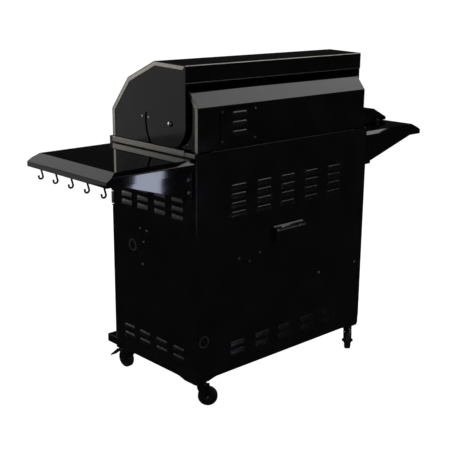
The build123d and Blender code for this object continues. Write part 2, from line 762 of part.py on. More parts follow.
def cowl_vent():
    """Screwed vent plate with pressed louvres."""
    plate = block(vent_x, (cowl_rear, cowl_rear + sheet), vent_z)
    middle = (vent_slot_x[0] + vent_slot_x[1]) / 2
    places = [Pos(middle, cowl_rear + sheet, z) for z in vent_slots_z]
    plate = louvred(plate, vent_slot_x[1] - vent_slot_x[0], places)
    return plate - [screw_hole(spot, (0, 1, 0)) for spot in vent_screws]


def rear_burner():
    """Upright ceramic burner box facing the spit, on stand-off legs."""
    y, z = rear_burner_y, rear_burner_z
    box = block((-rear_burner_x, rear_burner_x), y, z)
    box -= block((12.0 - rear_burner_x, rear_burner_x - 12.0), (y[0] - 1, y[0] + 6),
                 (z[0] + 12, z[1] - 12))
    legs = [block((s * 200.0 - 12, s * 200.0 + 12), (y[1], cowl_rear - sheet), (960.0, 985.0))
            for s in (1, -1)]
    return joined([box] + legs)


# ---- lid ------------------------------------------------------------------------------------
def lid_points(inset):
    """Outside of the lid in (Y, Z) from the front bottom over the top, moved in by inset."""
    k = inset
    return [
        (lid_front + k, lid_bottom), (lid_knee[0] + k, lid_knee[1] - k * 0.33),
        (lid_brow[0] + k * 0.52, lid_brow[1] - k * 0.86), (lid_crown[0] + k * 0.2, lid_crown[1] - k),
        (lid_rear - k, lid_rear_top - k),
    ]


def lid_shell():
    """Folded skin: front, two slopes, top and a short rear skirt."""
    rear_low = lid_rear_top - lid_rear_skirt
    outer = lid_points(0) + [(lid_rear, rear_low)]
    inner = [(lid_rear - sheet, rear_low)] + lid_points(sheet)[::-1]
    skin = prism_x(outer + inner, (-lid_x, lid_x))
    return skin - rod(along(-20), along(20), dial_stem_r + shaft_fit)


def lid_end(sx):
    """End plate with a raised rim, the spit slot and the pivot hole."""
    k = sheet + 0.05
    points = lid_points(k)
    radius = lid_rear - k - pivot_y
    foot_y = pivot_y + (radius ** 2 - (pivot_z - lid_bottom) ** 2) ** 0.5
    path = Polyline((foot_y, lid_bottom), *points, (lid_rear - k, pivot_z))
    turn = radians(45)
    corner = ThreePointArc(
        (lid_rear - k, pivot_z), (pivot_y + radius * cos(turn), pivot_z - radius * sin(turn)),
        (foot_y, lid_bottom),
    )
    face = Plane(origin=(lid_plate - sheet, 0, 0), x_dir=(0, 1, 0), z_dir=(1, 0, 0))
    plate = extrude(face * make_face(path + corner), sheet)
    rim_in = lid_points(rim_w)
    rim = prism_x(lid_points(k) + rim_in[::-1], (lid_plate, lid_x))
    heads = [rod((lid_plate, y, 996.8), (lid_plate + 2.5, y, 996.8), 4.5) for y in (-47.4, -13.9)]
    end = joined([plate, rim] + heads)
    end -= spit_slot()
    end -= rod((box_x, pivot_y, pivot_z), (lid_x + 5, pivot_y, pivot_z), pivot_r + shaft_fit)
    return end if sx > 0 else mirror(end, about=Plane.YZ)


def spit_slot():
    """Curved slot about the pivot, open at the lid's lower edge."""
    plane = Plane(origin=(lid_plate - sheet - 1, pivot_y, pivot_z), x_dir=(0, 1, 0), z_dir=(1, 0, 0))
    start, end = slot_top_angle, 226.0
    inner, outer = slot_radius - slot_w / 2, slot_radius + slot_w / 2

    def at(radius, angle):
        return (radius * cos(radians(angle)), radius * sin(radians(angle)))

    middle = (start + end) / 2
    out_arc = ThreePointArc(at(outer, start), at(outer, middle), at(outer, end))
    in_arc = ThreePointArc(at(inner, end), at(inner, middle), at(inner, start))
    sides = [Line(at(outer, end), at(inner, end)), Line(at(inner, start), at(outer, start))]
    band = extrude(plane * make_face(out_arc + in_arc + sides), 8)
    y, z = at(slot_radius, start)
    x = lid_plate - sheet - 1
    return band + rod((x, pivot_y + y, pivot_z + z), (x + 8, pivot_y + y, pivot_z + z), slot_w / 2)


def lid_handle():
    """Tube handle with its two posts."""
    y = lid_front - lid_handle_out
    bar = tube((-lid_handle_x, y, lid_handle_z), (lid_handle_x, y, lid_handle_z),
               lid_handle_r, lid_handle_wall)
    caps = [rod((s * (lid_handle_x - 3), y, lid_handle_z), (s * lid_handle_x, y, lid_handle_z),
                lid_handle_r - 1) for s in (1, -1)]
    posts = [rod((s * handle_post_x, y, lid_handle_z), (s * handle_post_x, lid_front, lid_handle_z),
                 7.0) for s in (1, -1)]
    pads = [rod((s * handle_post_x, lid_front - 4, lid_handle_z),
                (s * handle_post_x, lid_front, lid_handle_z), 13.0) for s in (1, -1)]
    return joined([bar] + caps + posts + pads)


slope = Vector(0, lid_brow[0] - lid_knee[0], lid_brow[1] - lid_knee[1]).normalized()
dial_out = Vector(0, -slope.Z, slope.Y)
dial_spot = Vector(0, (lid_brow[0] + lid_knee[0]) / 2, (lid_brow[1] + lid_knee[1]) / 2)


def along(distance):
    """Point on the dial's axis, out from the lid's slope."""
    return dial_spot + dial_out * distance


def thermometer_case():
    case = rod(along(0), along(dial_d), dial_r)
    case -= rod(along(dial_wall), along(dial_d + 1), dial_r - dial_wall)
    case += rod(along(1), along(dial_wall + 4), 1.5)
    return case + rod(along(-62), along(1), dial_stem_r)


def thermometer_needle():
    hub = rod(along(dial_wall + 1), along(dial_wall + 3), 4.0)
    plane = Plane(origin=along(dial_wall + 1.4), x_dir=(1, 0, 0), z_dir=dial_out)
    outline = Polyline((-2, -8), (2, -8), (0.6, needle_r), (-0.6, needle_r), close=True)
    pointer = extrude(plane * Rot(0, 0, needle_rest) * make_face(outline), 1.0)
    needle = joined([hub, pointer])
    return needle - rod(along(0), along(20), 1.5 + shaft_fit)


# ---- side shelves ---------------------------------------------------------------------------
def shelf_form(inset, low):
    """Outside of a shelf, drawn in by inset, as a solid."""
    top, k = shelf_z - inset, inset
    outline = [(shelf_in + k, low), (shelf_in + k, top), (shelf_flat - k * 0.27, top),
               (shelf_out - k, shelf_drop - k * 0.73), (shelf_out - k, low)]
    form = prism_y(outline, (k - shelf_y, shelf_y - k))
    edges = form.edges().filter_by(Axis.X).filter_by(
        lambda edge: edge.center().Z > top - 0.1 and edge.length > 100)
    return chamfer(edges, shelf_bevel)


def shelf(sx):
    panel = shelf_form(0, shelf_low) - shelf_form(sheet, shelf_low - 1)
    if sx > 0:
        return panel
    panel = mirror(panel, about=Plane.YZ)
    half = cooker_half
    panel -= block((cooker_x - half, cooker_x + half), (cooker_y - half, cooker_y + half),
                   (shelf_z - 5, shelf_z + 5))
    return panel - rod((cooker_x, -shelf_y - 1, side_knob_z), (cooker_x, 5 - shelf_y, side_knob_z),
                       stem_r + 2)


def shelf_bracket(front_side):
    """Angle on the side panel and the gusset plate bolted to it."""
    x = half_w
    leg = block((x, x + 1.8), (gusset_y - bracket_side, gusset_y), (gusset_low - 2, shelf_low - 2))
    foot = block((x, x + bracket_leg), (gusset_y - 2, gusset_y), (gusset_low + 2, shelf_low - 2))
    gusset = prism_y([(x + 0.5, gusset_low), (gusset_out, shelf_low - 3), (gusset_out, shelf_low + 10),
                      (shelf_in + sheet + 0.5, shelf_low + 10), (shelf_in + sheet + 0.5, shelf_low - 1),
                      (x + 0.5, shelf_low - 1)],
                     (gusset_y, gusset_outer))
    flange = prism_y([(x + 0.5, gusset_low), (gusset_out, shelf_low - 3),
                      (gusset_out, shelf_low - 1.4), (x + 0.5, gusset_low + 1.6)],
                     (gusset_y - 12, gusset_outer))
    bracket = joined([leg, foot, gusset, flange])
    for z in bracket_bolt_z:
        bracket -= rod((bracket_bolt_x, gusset_y - 20, z), (bracket_bolt_x, gusset_y + 5, z),
                       bolt_r + shaft_fit)
    return mirror(bracket, about=Plane.XZ) if front_side else bracket


def shelf_brackets():
    right = [shelf_bracket(False), shelf_bracket(True)]
    return [piece for part in right for piece in both_sides(part)]


def tool_hooks():
    """J-shaped wire hooks on a strip under the outer edge of the right shelf."""
    bend = hook_curl
    low = shelf_low - hook_drop
    strip = block((hook_x - 9, shelf_out - sheet), (-200.0, 205.0), (shelf_low, shelf_low + 2))
    hooks = [strip]
    for i in range(hook_count):
        y = hook_pitch * (i - (hook_count - 1) / 2) + 4
        top = (hook_x + 2, y, shelf_low + 1)
        foot = (hook_x - 6, y, low)
        curl = ThreePointArc(foot, (foot[0] + bend, y, low - bend), (foot[0] + 2 * bend, y, low + 2))
        section = Plane(origin=curl @ 0, z_dir=curl % 0) * Circle(hook_r)
        hooks += [rod(top, foot, hook_r), sweep(section, path=curl)]
        hooks += [Pos(*(curl @ end)) * Sphere(hook_r + hook_bulge) for end in (0, 1)]
    return joined(hooks)


# ---- side burner ----------------------------------------------------------------------------
def side_burner_pan():
    """Recessed pan with a lip that rests on the shelf."""
    half, lip = cooker_half, cooker_lip
    bottom = shelf_z - pan_depth
    outer = block((cooker_x - half + 0.5, cooker_x + half - 0.5),
                  (cooker_y - half + 0.5, cooker_y + half - 0.5), (bottom, shelf_z))
    rim = block((cooker_x - half - lip, cooker_x + half + lip),
                (cooker_y - half - lip, cooker_y + half + lip), (shelf_z, shelf_z + sheet))
    inner = block((cooker_x - half + 2, cooker_x + half - 2), (cooker_y - half + 2, cooker_y + half - 2),
                  (bottom + sheet, shelf_z + 5))
    knuckle_y = cooker_y + cover_half + 1
    knuckles = [block((cooker_x + s * 60 - 8, cooker_x + s * 60 + 8), y, (shelf_z, z))
                for s in (1, -1)
                for y, z in (((cooker_y + half + lip - 1, knuckle_y + 5), shelf_z + 3),
                             ((knuckle_y - 4, knuckle_y + 5), cover_z + 4.5))]
    pan = joined([outer, rim] + knuckles) - inner
    pin = rod((cooker_x - 80, knuckle_y, cover_z), (cooker_x + 80, knuckle_y, cover_z),
              cover_pin_r + shaft_fit)
    pan -= pin
    return pan - rod((cooker_x, cooker_y, bottom - 5), (cooker_x, cooker_y, bottom + 5), 12.0)


def side_burner_ring():
    """Round burner head with its stub pipe down through the pan."""
    bottom = shelf_z - pan_depth + sheet
    stub = rod((cooker_x, cooker_y, bottom - 12), (cooker_x, cooker_y, bottom + 2), 11.0)
    body = rod((cooker_x, cooker_y, bottom), (cooker_x, cooker_y, bottom + ring_h - 6), ring_r - 6)
    cap = rod((cooker_x, cooker_y, bottom + ring_h - 6), (cooker_x, cooker_y, bottom + ring_h), ring_r)
    return joined([stub, body, cap])


def side_burner_trivet():
    """Pan support: a square frame with four fingers."""
    top = shelf_z + 0.5
    half = trivet_half
    frame = block((cooker_x - half, cooker_x + half), (cooker_y - half, cooker_y + half), (top - 8, top))
    hollow = half - 6
    frame -= block((cooker_x - hollow, cooker_x + hollow), (cooker_y - hollow, cooker_y + hollow),
                   (top - 10, top + 1))
    fingers = []
    for dx, dy in ((1, 0), (-1, 0), (0, 1), (0, -1)):
        x = sorted((cooker_x + dx * 22 - 3 * abs(dy), cooker_x + dx * (half - 2) + 3 * abs(dy)))
        y = sorted((cooker_y + dy * 22 - 3 * abs(dx), cooker_y + dy * (half - 2) + 3 * abs(dx)))
        fingers.append(block(x, y, (top - 6, top + 2)))
    feet = [block((cooker_x + sx * (half - 3) - 3, cooker_x + sx * (half - 3) + 3),
                  (cooker_y + sy * (half - 3) - 3, cooker_y + sy * (half - 3) + 3),
                  (shelf_z - pan_depth + sheet, top - 4))
            for sx in (1, -1) for sy in (1, -1)]
    return joined([frame] + fingers + feet)


def cover_form(inset):
    half = cover_half - inset
    low, high = cover_z - 2 if inset == 0 else cover_z - 3, cover_z + cover_rise - inset
    skirt = cover_z + 10 - inset * 0.4
    bottom = Plane.XY.offset(skirt) * Rectangle(2 * half, 2 * half)
    top_half = cover_half - cover_slope - inset * 0.6
    top = Plane.XY.offset(high) * Rectangle(2 * top_half, 2 * top_half)
    form = loft([bottom, top])
    form += Pos(0, 0, (low + skirt) / 2) * Box(2 * half, 2 * half, skirt - low)
    return Pos(cooker_x, cooker_y, 0) * form


def side_burner_cover():
    """Lid of the side burner with its hinge pin."""
    shell = cover_form(0) - cover_form(sheet)
    knuckle_y = cooker_y + cover_half + 1
    arms = [block((cooker_x + s * 38 - 6, cooker_x + s * 38 + 6),
                  (cooker_y + cover_half - sheet, knuckle_y + 4.5), (cover_z - 1, cover_z + 5))
            for s in (1, -1)]
    pin = rod((cooker_x - 70, knuckle_y, cover_z), (cooker_x + 70, knuckle_y, cover_z), cover_pin_r)
    notches = [block((cooker_x + s * 60 - 10, cooker_x + s * 60 + 10),
                     (cooker_y + cover_half - 8, knuckle_y + 9), (cover_z - 5, cover_z + 9))
               for s in (1, -1)]
    grip = block((cooker_x - 30, cooker_x + 30), (cooker_y - cover_half - 14, cooker_y - cover_half + 1),
                 (cover_z + 2, cover_z + 8))
    return joined([shell - notches, grip] + arms + [pin])


# ---- casters --------------------------------------------------------------------------------
def caster_frame(sx, sy, heading):
    """Caster at a corner; heading is the trailing direction in degrees from +X."""
    return Location((sx * stem_x, sy * stem_y, 0), (0, 0, 1), heading)


cheek_y = (wheel_w / 2 + fork_gap + fork_wall + 1.0, wheel_w / 2 + fork_gap + fork_wall + 3.0)
pedal_pin = (trail + 1.0, 66.5)


def fork(braked):
    """Forked bracket with its swivel stem and axle, trailing along local +X."""
    leg_y = wheel_w / 2 + fork_gap
    crown = rod((0, 0, fork_top - 3), (0, 0, foot_low - 1.5), 17.0)
    stem = rod((0, 0, fork_top), (0, 0, tray_z - sheet - 8), post_r)
    top = block((-17.0, trail + 6), (-leg_y - fork_wall, leg_y + fork_wall), (fork_top - 3, fork_top))
    outline = [(-17.0, fork_top), (trail + 6, fork_top), (trail + 9, wheel_r - 4),
               (trail + 4, wheel_r - 9), (trail - 6, wheel_r - 9), (-14.0, fork_top - 14)]
    legs = [prism_y(outline, y) for y in ((-leg_y - fork_wall, -leg_y), (leg_y, leg_y + fork_wall))]
    axle = rod((trail, -leg_y - 6, wheel_r), (trail, leg_y + 6, wheel_r), axle_r)
    nuts = [rod((trail, s * (leg_y + fork_wall), wheel_r), (trail, s * (leg_y + 6), wheel_r), 6.5)
            for s in (1, -1)]
    x, z = pedal_pin
    stubs = [rod((x, s * (leg_y + 0.5), z), (x, s * (cheek_y[1] + 0.8), z), pin_r) for s in (1, -1)]
    return joined([crown, stem, top, axle] + legs + nuts + (stubs if braked else []))


def wheel():
    """Wheel with a grooved hub, on the fork's axle."""
    half = wheel_w / 2
    disc = rod((trail, -half, wheel_r), (trail, half, wheel_r), wheel_r)
    disc = fillet(disc.edges(), 4.0)
    for s in (1, -1):
        groove = rod((trail, s * half, wheel_r), (trail, s * (half - 5), wheel_r), wheel_r - 9)
        groove -= rod((trail, s * half, wheel_r), (trail, s * (half - 5), wheel_r), 9.0)
        disc -= groove
    return disc - rod((trail, -half - 1, wheel_r), (trail, half + 1, wheel_r), axle_r + shaft_fit)


def pedal():
    """Brake pedal over the wheel, on stub pins outside the fork's legs."""
    tip = trail + pedal_reach
    plate = [(trail + 38, 58.0), (tip, pedal_tip_z), (tip, pedal_tip_z + 6), (trail + 40, 64.0)]
    tread = prism_y(plate, (-pedal_w / 2, pedal_w / 2))
    cheek = [(trail - 5, 61.0), (trail + 6, 60.0), (trail + 40, 59.0), (trail + 40, 62.5),
             (trail + 8, 72.0), (trail - 5, 72.0)]
    inner, outer = cheek_y
    cheeks = [prism_y(cheek, y) for y in ((-outer, -inner), (inner, outer))]
    bridge = block((trail + 36.5, trail + 40), (-outer, outer), (59.2, 62.4))
    part = joined([tread, bridge] + cheeks)
    x, z = pedal_pin
    return part - rod((x, -outer - 1, z), (x, outer + 1, z), pin_r + shaft_fit)


headings = {
    "rear_right": (1, 1, 137.0), "rear_left": (-1, 1, 43.0),
    "front_right": (1, -1, 272.0), "front_left": (-1, -1, 268.0),
}


def fasteners():
    """Panel screws, bracket bolts and the two lid pivot bolts."""
    pieces = [screw(spot, (0, 1, 0)) for spot in back_screws + [post_screw] + vent_screws]
    for spot in side_screws:
        pieces.append(screw(spot, (1 if spot[0] > 0 else -1, 0, 0)))
    for spot in cowl_screws:
        pieces.append(screw(spot, (1 if spot[0] > 0 else -1, 0, 0), head=flat_head))
    for spot in bracket_bolts:
        out = (0, 1 if spot[1] > 0 else -1, 0)
        pieces.append(screw(spot, out, bolt_head_r, bolt_r, bolt_head, 14.0))
    for s in (1, -1):
        spot = (s * (lid_x + 1.0), pivot_y, pivot_z)
        pieces.append(screw(spot, (s, 0, 0), pivot_r + 4, pivot_r, 5.0, lid_x + 1.0 - box_x + 8))
    return pieces


def build():
    os.makedirs("parts", exist_ok=True)
    save("base_tray", base_tray())
    save("corner_feet", [corner_foot(sx, sy) for sx in (1, -1) for sy in (1, -1)])
    save("back_panel", back_panel())
    save("hose_hood", hose_hood())
    save("cable_grommets", cable_grommets())
    save("inner_frame", inner_frame())
    save("door_hardware", door_hardware())
    for side, sx in (("right", 1), ("left", -1)):
        save(f"side_panel_{side}", side_panel(sx))
        save(f"door_{side}", door(sx))
        save(f"door_handle_{side}", door_handle(sx))
        save(f"lid_end_{side}", lid_end(sx))
        save(f"shelf_{side}", shelf(sx))
    save("control_panel", control_panel())
    save("knob_bezels", knob_bezels())
    save("gas_valves", gas_valves())
    save("gas_manifold", gas_manifold())
    save("igniter_button", igniter_button())
    for i, x in enumerate(knob_xs):
        save(f"knob_{i + 1}", knob(x, panel_face, knob_z, knob_r, knob_depth, valve_y[1] - 10))
    save("side_burner_knob", knob(cooker_x, -shelf_y, side_knob_z, side_knob_r, side_knob_depth,
                                  side_valve_y[1] - 10))
    save("firebox", firebox())
    save("main_burners", main_burners())
    save("flame_tamers", flame_tamers())
    save("cooking_grates", cooking_grates())
    save("warming_rack", warming_rack())
    save("drip_tray", drip_tray())
    save("grease_cup", grease_cup())
    save("top_rails", both_sides(top_rail()))
    save("rear_cowl", rear_cowl())
    save("cowl_vent", cowl_vent())
    save("rear_burner", rear_burner())
    save("lid_shell", lid_shell())
    save("lid_handle", lid_handle())
    save("thermometer_case", thermometer_case())
    save("thermometer_needle", thermometer_needle())
    save("shelf_brackets", shelf_brackets())
    save("tool_hooks", tool_hooks())
    save("side_burner_pan", side_burner_pan())
    save("side_burner_ring", side_burner_ring())
    save("side_burner_trivet", side_burner_trivet())
    save("side_burner_cover", side_burner_cover())
    for corner, (sx, sy, heading) in headings.items():
        place = caster_frame(sx, sy, heading)
        braked = corner.startswith("front")
        save(f"caster_fork_{corner}", place * fork(braked))
        save(f"caster_wheel_{corner}", place * wheel())
        if braked:
            save(f"brake_pedal_{corner}", place * pedal())
    save("fasteners", fasteners())


build()
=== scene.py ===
"""Looks of the gas barbecue grill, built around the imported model. Metres, in the model's own frame."""

import json
from math import cos, pi, radians, sin

import bmesh
import bpy
from mathutils import Matrix, Quaternion, Vector


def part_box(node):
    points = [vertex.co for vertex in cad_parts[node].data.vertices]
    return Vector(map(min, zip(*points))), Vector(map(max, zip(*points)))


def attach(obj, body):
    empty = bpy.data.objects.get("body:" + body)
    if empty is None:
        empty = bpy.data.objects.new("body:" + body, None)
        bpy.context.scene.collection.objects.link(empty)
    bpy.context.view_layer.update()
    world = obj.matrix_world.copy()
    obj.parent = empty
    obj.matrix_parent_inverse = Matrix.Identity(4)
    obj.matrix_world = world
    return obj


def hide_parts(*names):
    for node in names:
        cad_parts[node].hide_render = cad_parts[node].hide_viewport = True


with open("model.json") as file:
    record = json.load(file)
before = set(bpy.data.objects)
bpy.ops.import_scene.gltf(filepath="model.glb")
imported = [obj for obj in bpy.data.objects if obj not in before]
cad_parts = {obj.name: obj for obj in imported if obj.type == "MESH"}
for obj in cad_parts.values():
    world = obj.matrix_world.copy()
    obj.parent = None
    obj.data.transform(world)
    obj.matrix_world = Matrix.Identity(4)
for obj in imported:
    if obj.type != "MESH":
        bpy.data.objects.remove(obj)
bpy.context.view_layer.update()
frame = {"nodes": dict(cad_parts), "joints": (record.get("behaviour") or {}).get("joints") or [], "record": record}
nodes = frame["nodes"]
body_of = {node: body for body, members in frame["record"]["behaviour"]["bodies"].items() for node in members}
MM = 0.001


# ---- colours and nodes ----------------------------------------------------------------------
def linear(hex_colour):
    """Linear RGBA of an sRGB hex colour."""
    channels = [int(hex_colour[i:i + 2], 16) / 255 for i in (1, 3, 5)]
    return tuple(c / 12.92 if c <= 0.04045 else ((c + 0.055) / 1.055) ** 2.4 for c in channels) + (1.0,)


def add(tree, kind, inputs=None, **settings):
    """Adds a node, with its settings, and its inputs as values or as sockets to link."""
    node = tree.nodes.new(kind)
    for name, value in settings.items():
        setattr(node, name, value)
    for name, value in (inputs or {}).items():
        if isinstance(value, bpy.types.NodeSocket):
            tree.links.new(value, node.inputs[name])
        else:
            node.inputs[name].default_value = value
    return node


def surface(name, **sockets):
    """New material with a Principled shader. Socket names are written with underscores."""
    material = bpy.data.materials.new(name)
    material.use_nodes = True
    tree = material.node_tree
    shader = tree.nodes["Principled BSDF"]
    for socket, value in sockets.items():
        shader.inputs[socket.replace("_", " ")].default_value = value
    return material, tree, shader


def grain(tree, size_mm, detail=2.0, stretch=(1, 1, 1)):
    """Noise whose grains are size_mm across, drawn out along an axis by a stretch below 1."""
    place = add(tree, "ShaderNodeTexCoord")
    turned = add(tree, "ShaderNodeMapping", {"Vector": place.outputs["Object"], "Scale": stretch})
    return add(tree, "ShaderNodeTexNoise", {
        "Vector": turned.outputs["Vector"], "Scale": 1000 / size_mm, "Detail": detail,
    }).outputs["Fac"]


def spread(tree, value, low, high):
    """Maps a noise's middle range onto low to high."""
    return add(tree, "ShaderNodeMapRange", {
        "Value": value, "From Min": 0.3, "From Max": 0.7, "To Min": low, "To Max": high,
    }).outputs["Result"]


def blended(tree, share, first, second):
    """Colour between two hex colours."""
    mix = add(tree, "ShaderNodeMix", data_type="RGBA")
    tree.links.new(share, mix.inputs["Factor"])
    mix.inputs[6].default_value = linear(first)
    mix.inputs[7].default_value = linear(second)
    return mix.outputs[2]


def raised(tree, shader, height, depth_mm, strength=1.0, under=None):
    """Bump of a real depth in millimetres, on top of another bump if one is given."""
    inputs = {"Height": height, "Distance": depth_mm * MM, "Strength": strength}
    if under:
        inputs["Normal"] = under
    normal = add(tree, "ShaderNodeBump", inputs).outputs["Normal"]
    tree.links.new(normal, shader.inputs["Normal"])
    return normal


# ---- materials ------------------------------------------------------------------------------
def powder_coat():
    """Baked powder coat on steel sheet: deep black, smooth, with a faint orange peel."""
    material, tree, shader = surface("powder coat, black", IOR=1.5)
    tree.links.new(blended(tree, spread(tree, grain(tree, 90), 0, 1), "#060607", "#0b0b0c"),
                   shader.inputs["Base Color"])
    tree.links.new(spread(tree, grain(tree, 70, 4), 0.06, 0.1), shader.inputs["Roughness"])
    raised(tree, shader, grain(tree, 3.0), 0.003)
    return material


def pressed_coat():
    """The same powder coat over a pressed louvre, where the stretched film is duller."""
    material, tree, shader = surface("powder coat, stretched", IOR=1.5)
    tree.links.new(blended(tree, spread(tree, grain(tree, 30), 0, 1), "#070708", "#0d0d0e"),
                   shader.inputs["Base Color"])
    tree.links.new(spread(tree, grain(tree, 20, 3), 0.22, 0.3), shader.inputs["Roughness"])
    raised(tree, shader, grain(tree, 3.0), 0.006)
    return material


def mirror_enamel():
    """Poured enamel on the shelves: black glass that mirrors what stands beside it."""
    material, tree, shader = surface("mirror enamel, black", IOR=1.52)
    tree.links.new(blended(tree, spread(tree, grain(tree, 120), 0, 1), "#040405", "#080809"),
                   shader.inputs["Base Color"])
    tree.links.new(spread(tree, grain(tree, 60, 3), 0.03, 0.06), shader.inputs["Roughness"])
    raised(tree, shader, grain(tree, 40), 0.004)
    return material


def porcelain_enamel():
    """Fired porcelain enamel: glassy black, with the slow ripple of a glaze."""
    material, tree, shader = surface("porcelain enamel, black", IOR=1.45)
    tree.links.new(blended(tree, spread(tree, grain(tree, 120), 0, 1), "#050506", "#0a0a0b"),
                   shader.inputs["Base Color"])
    tree.links.new(spread(tree, grain(tree, 60, 3), 0.1, 0.18), shader.inputs["Roughness"])
    raised(tree, shader, grain(tree, 22), 0.02)
    return material


def edge_highlight_enamel():
    """Light grey satin metal for bent, rolled and bevelled edges: the grey is a painted highlight, standing in for
    the light those edges catch.
    """
    material, tree, shader = surface("painted edge highlight", Metallic=1.0)
    tree.links.new(blended(tree, spread(tree, grain(tree, 8, 4), 0, 1), "#a8a49b", "#bdb9af"),
                   shader.inputs["Base Color"])
    tree.links.new(spread(tree, grain(tree, 12, 3), 0.34, 0.46), shader.inputs["Roughness"])
    raised(tree, shader, grain(tree, 1.5), 0.01)
    return material


def brushed_stainless(name, stretch, light="#b9b7b2", dark="#8f8d89"):
    """Stainless steel polished with a belt, so fine lines run along the piece."""
    material, tree, shader = surface(name, Metallic=1.0, Anisotropic=0.5)
    lines = grain(tree, 0.9, 6, stretch)
    tree.links.new(blended(tree, spread(tree, lines, 0, 1), dark, light), shader.inputs["Base Color"])
    tree.links.new(spread(tree, lines, 0.22, 0.38), shader.inputs["Roughness"])
    raised(tree, shader, lines, 0.01)
    return material


def chrome_trim():
    """Drawn trim with a dull dark-nickel plate: steel grey and lightly brushed."""
    material, tree, shader = surface("dark nickel trim", Metallic=1.0)
    lines = grain(tree, 1.2, 4, (0.03, 0.03, 1))
    colour = blended(tree, spread(tree, lines, 0, 1), "#8a8983", "#9d9b94")
    tree.links.new(colour, shader.inputs["Base Color"])
    tree.links.new(spread(tree, lines, 0.28, 0.4), shader.inputs["Roughness"])
    raised(tree, shader, lines, 0.008)
    return material


def heat_tinted_steel():
    """Stainless sheet near the flames, browned and blued in patches by heat."""
    material, tree, shader = surface("heat tinted stainless", Metallic=1.0)
    patches = spread(tree, grain(tree, 140, 3), 0, 1)
    tree.links.new(blended(tree, patches, "#8b8880", "#a39176"), shader.inputs["Base Color"])
    tree.links.new(spread(tree, grain(tree, 25, 4), 0.28, 0.5), shader.inputs["Roughness"])
    raised(tree, shader, grain(tree, 1.0, 4, (0.05, 1, 1)), 0.01)
    return material


def cast_iron():
    """Sand-cast iron under matte black enamel: pebbled and dull."""
    material, tree, shader = surface("enamelled cast iron", IOR=1.5)
    tree.links.new(blended(tree, spread(tree, grain(tree, 6, 4), 0, 1), "#0c0c0c", "#191817"),
                   shader.inputs["Base Color"])
    tree.links.new(spread(tree, grain(tree, 4, 4), 0.5, 0.75), shader.inputs["Roughness"])
    raised(tree, shader, grain(tree, 1.4, 5), 0.12)
    return material


def cast_aluminium():
    """Die-cast aluminium, blasted: pale grey with a fine grit."""
    material, tree, shader = surface("die-cast aluminium", Metallic=1.0)
    tree.links.new(blended(tree, spread(tree, grain(tree, 3, 4), 0, 1), "#8e9093", "#a9abad"),
                   shader.inputs["Base Color"])
    tree.links.new(spread(tree, grain(tree, 2, 4), 0.42, 0.58), shader.inputs["Roughness"])
    raised(tree, shader, grain(tree, 0.8, 4), 0.03)
    return material


def zinc_plate():
    """Bright zinc plate on screws and pins, a little cloudy."""
    material, tree, shader = surface("zinc plated steel", Metallic=1.0)
    tree.links.new(blended(tree, spread(tree, grain(tree, 5, 3), 0, 1), "#b4b7ba", "#d3d6d8"),
                   shader.inputs["Base Color"])
    tree.links.new(spread(tree, grain(tree, 3, 3), 0.2, 0.36), shader.inputs["Roughness"])
    raised(tree, shader, grain(tree, 0.7), 0.01)
    return material


def moulded_plastic():
    """Injection-moulded nylon for wheels and pedals: black, faintly speckled, soft gloss."""
    material, tree, shader = surface("moulded nylon, black", IOR=1.53)
    tree.links.new(blended(tree, spread(tree, grain(tree, 2, 3), 0, 1), "#080808", "#111111"),
                   shader.inputs["Base Color"])
    tree.links.new(spread(tree, grain(tree, 5, 3), 0.36, 0.5), shader.inputs["Roughness"])
    raised(tree, shader, grain(tree, 0.9, 3), 0.03)
    return material


def knob_plastic():
    """Phenolic knob, polished black."""
    material, tree, shader = surface("phenolic, polished black", IOR=1.57)
    tree.links.new(blended(tree, spread(tree, grain(tree, 20), 0, 1), "#0a0a0b", "#101011"),
                   shader.inputs["Base Color"])
    tree.links.new(spread(tree, grain(tree, 8, 3), 0.16, 0.26), shader.inputs["Roughness"])
    raised(tree, shader, grain(tree, 1.5), 0.01)
    return material


def grommet_rubber():
    """EPDM rubber: black and dull, with a dusty bloom."""
    material, tree, shader = surface("EPDM rubber", IOR=1.5, Sheen_Weight=0.05)
    tree.links.new(blended(tree, spread(tree, grain(tree, 4, 4), 0, 1), "#0d0d0d", "#1b1b1b"),
                   shader.inputs["Base Color"])
    tree.links.new(spread(tree, grain(tree, 3, 3), 0.6, 0.8), shader.inputs["Roughness"])
    raised(tree, shader, grain(tree, 0.8, 3), 0.04)
    return material


def paint(name, first, second, rough):
    """Printed or sprayed paint, even, with a little mottle."""
    material, tree, shader = surface(name, IOR=1.5)
    tree.links.new(blended(tree, spread(tree, grain(tree, 6, 3), 0, 1), first, second),
                   shader.inputs["Base Color"])
    tree.links.new(spread(tree, grain(tree, 4, 3), rough, rough + 0.12), shader.inputs["Roughness"])
    return material


def glass():
    """Flat soda-lime glass."""
    material, tree, shader = surface("soda-lime glass", IOR=1.52, Transmission_Weight=1.0, Roughness=0.02)
    tree.links.new(blended(tree, spread(tree, grain(tree, 30), 0, 1), "#f4f8f6", "#fafcfb"),
                   shader.inputs["Base Color"])
    return material


def ceramic_tile():
    """Cordierite burner tile: chalky cream, pocked all over."""
    material, tree, shader = surface("cordierite tile", IOR=1.5)
    tree.links.new(blended(tree, spread(tree, grain(tree, 5, 4), 0, 1), "#8a8073", "#b3a897"),
                   shader.inputs["Base Color"])
    shader.inputs["Roughness"].default_value = 0.9
    raised(tree, shader, grain(tree, 2.4, 1), 0.4)
    return material


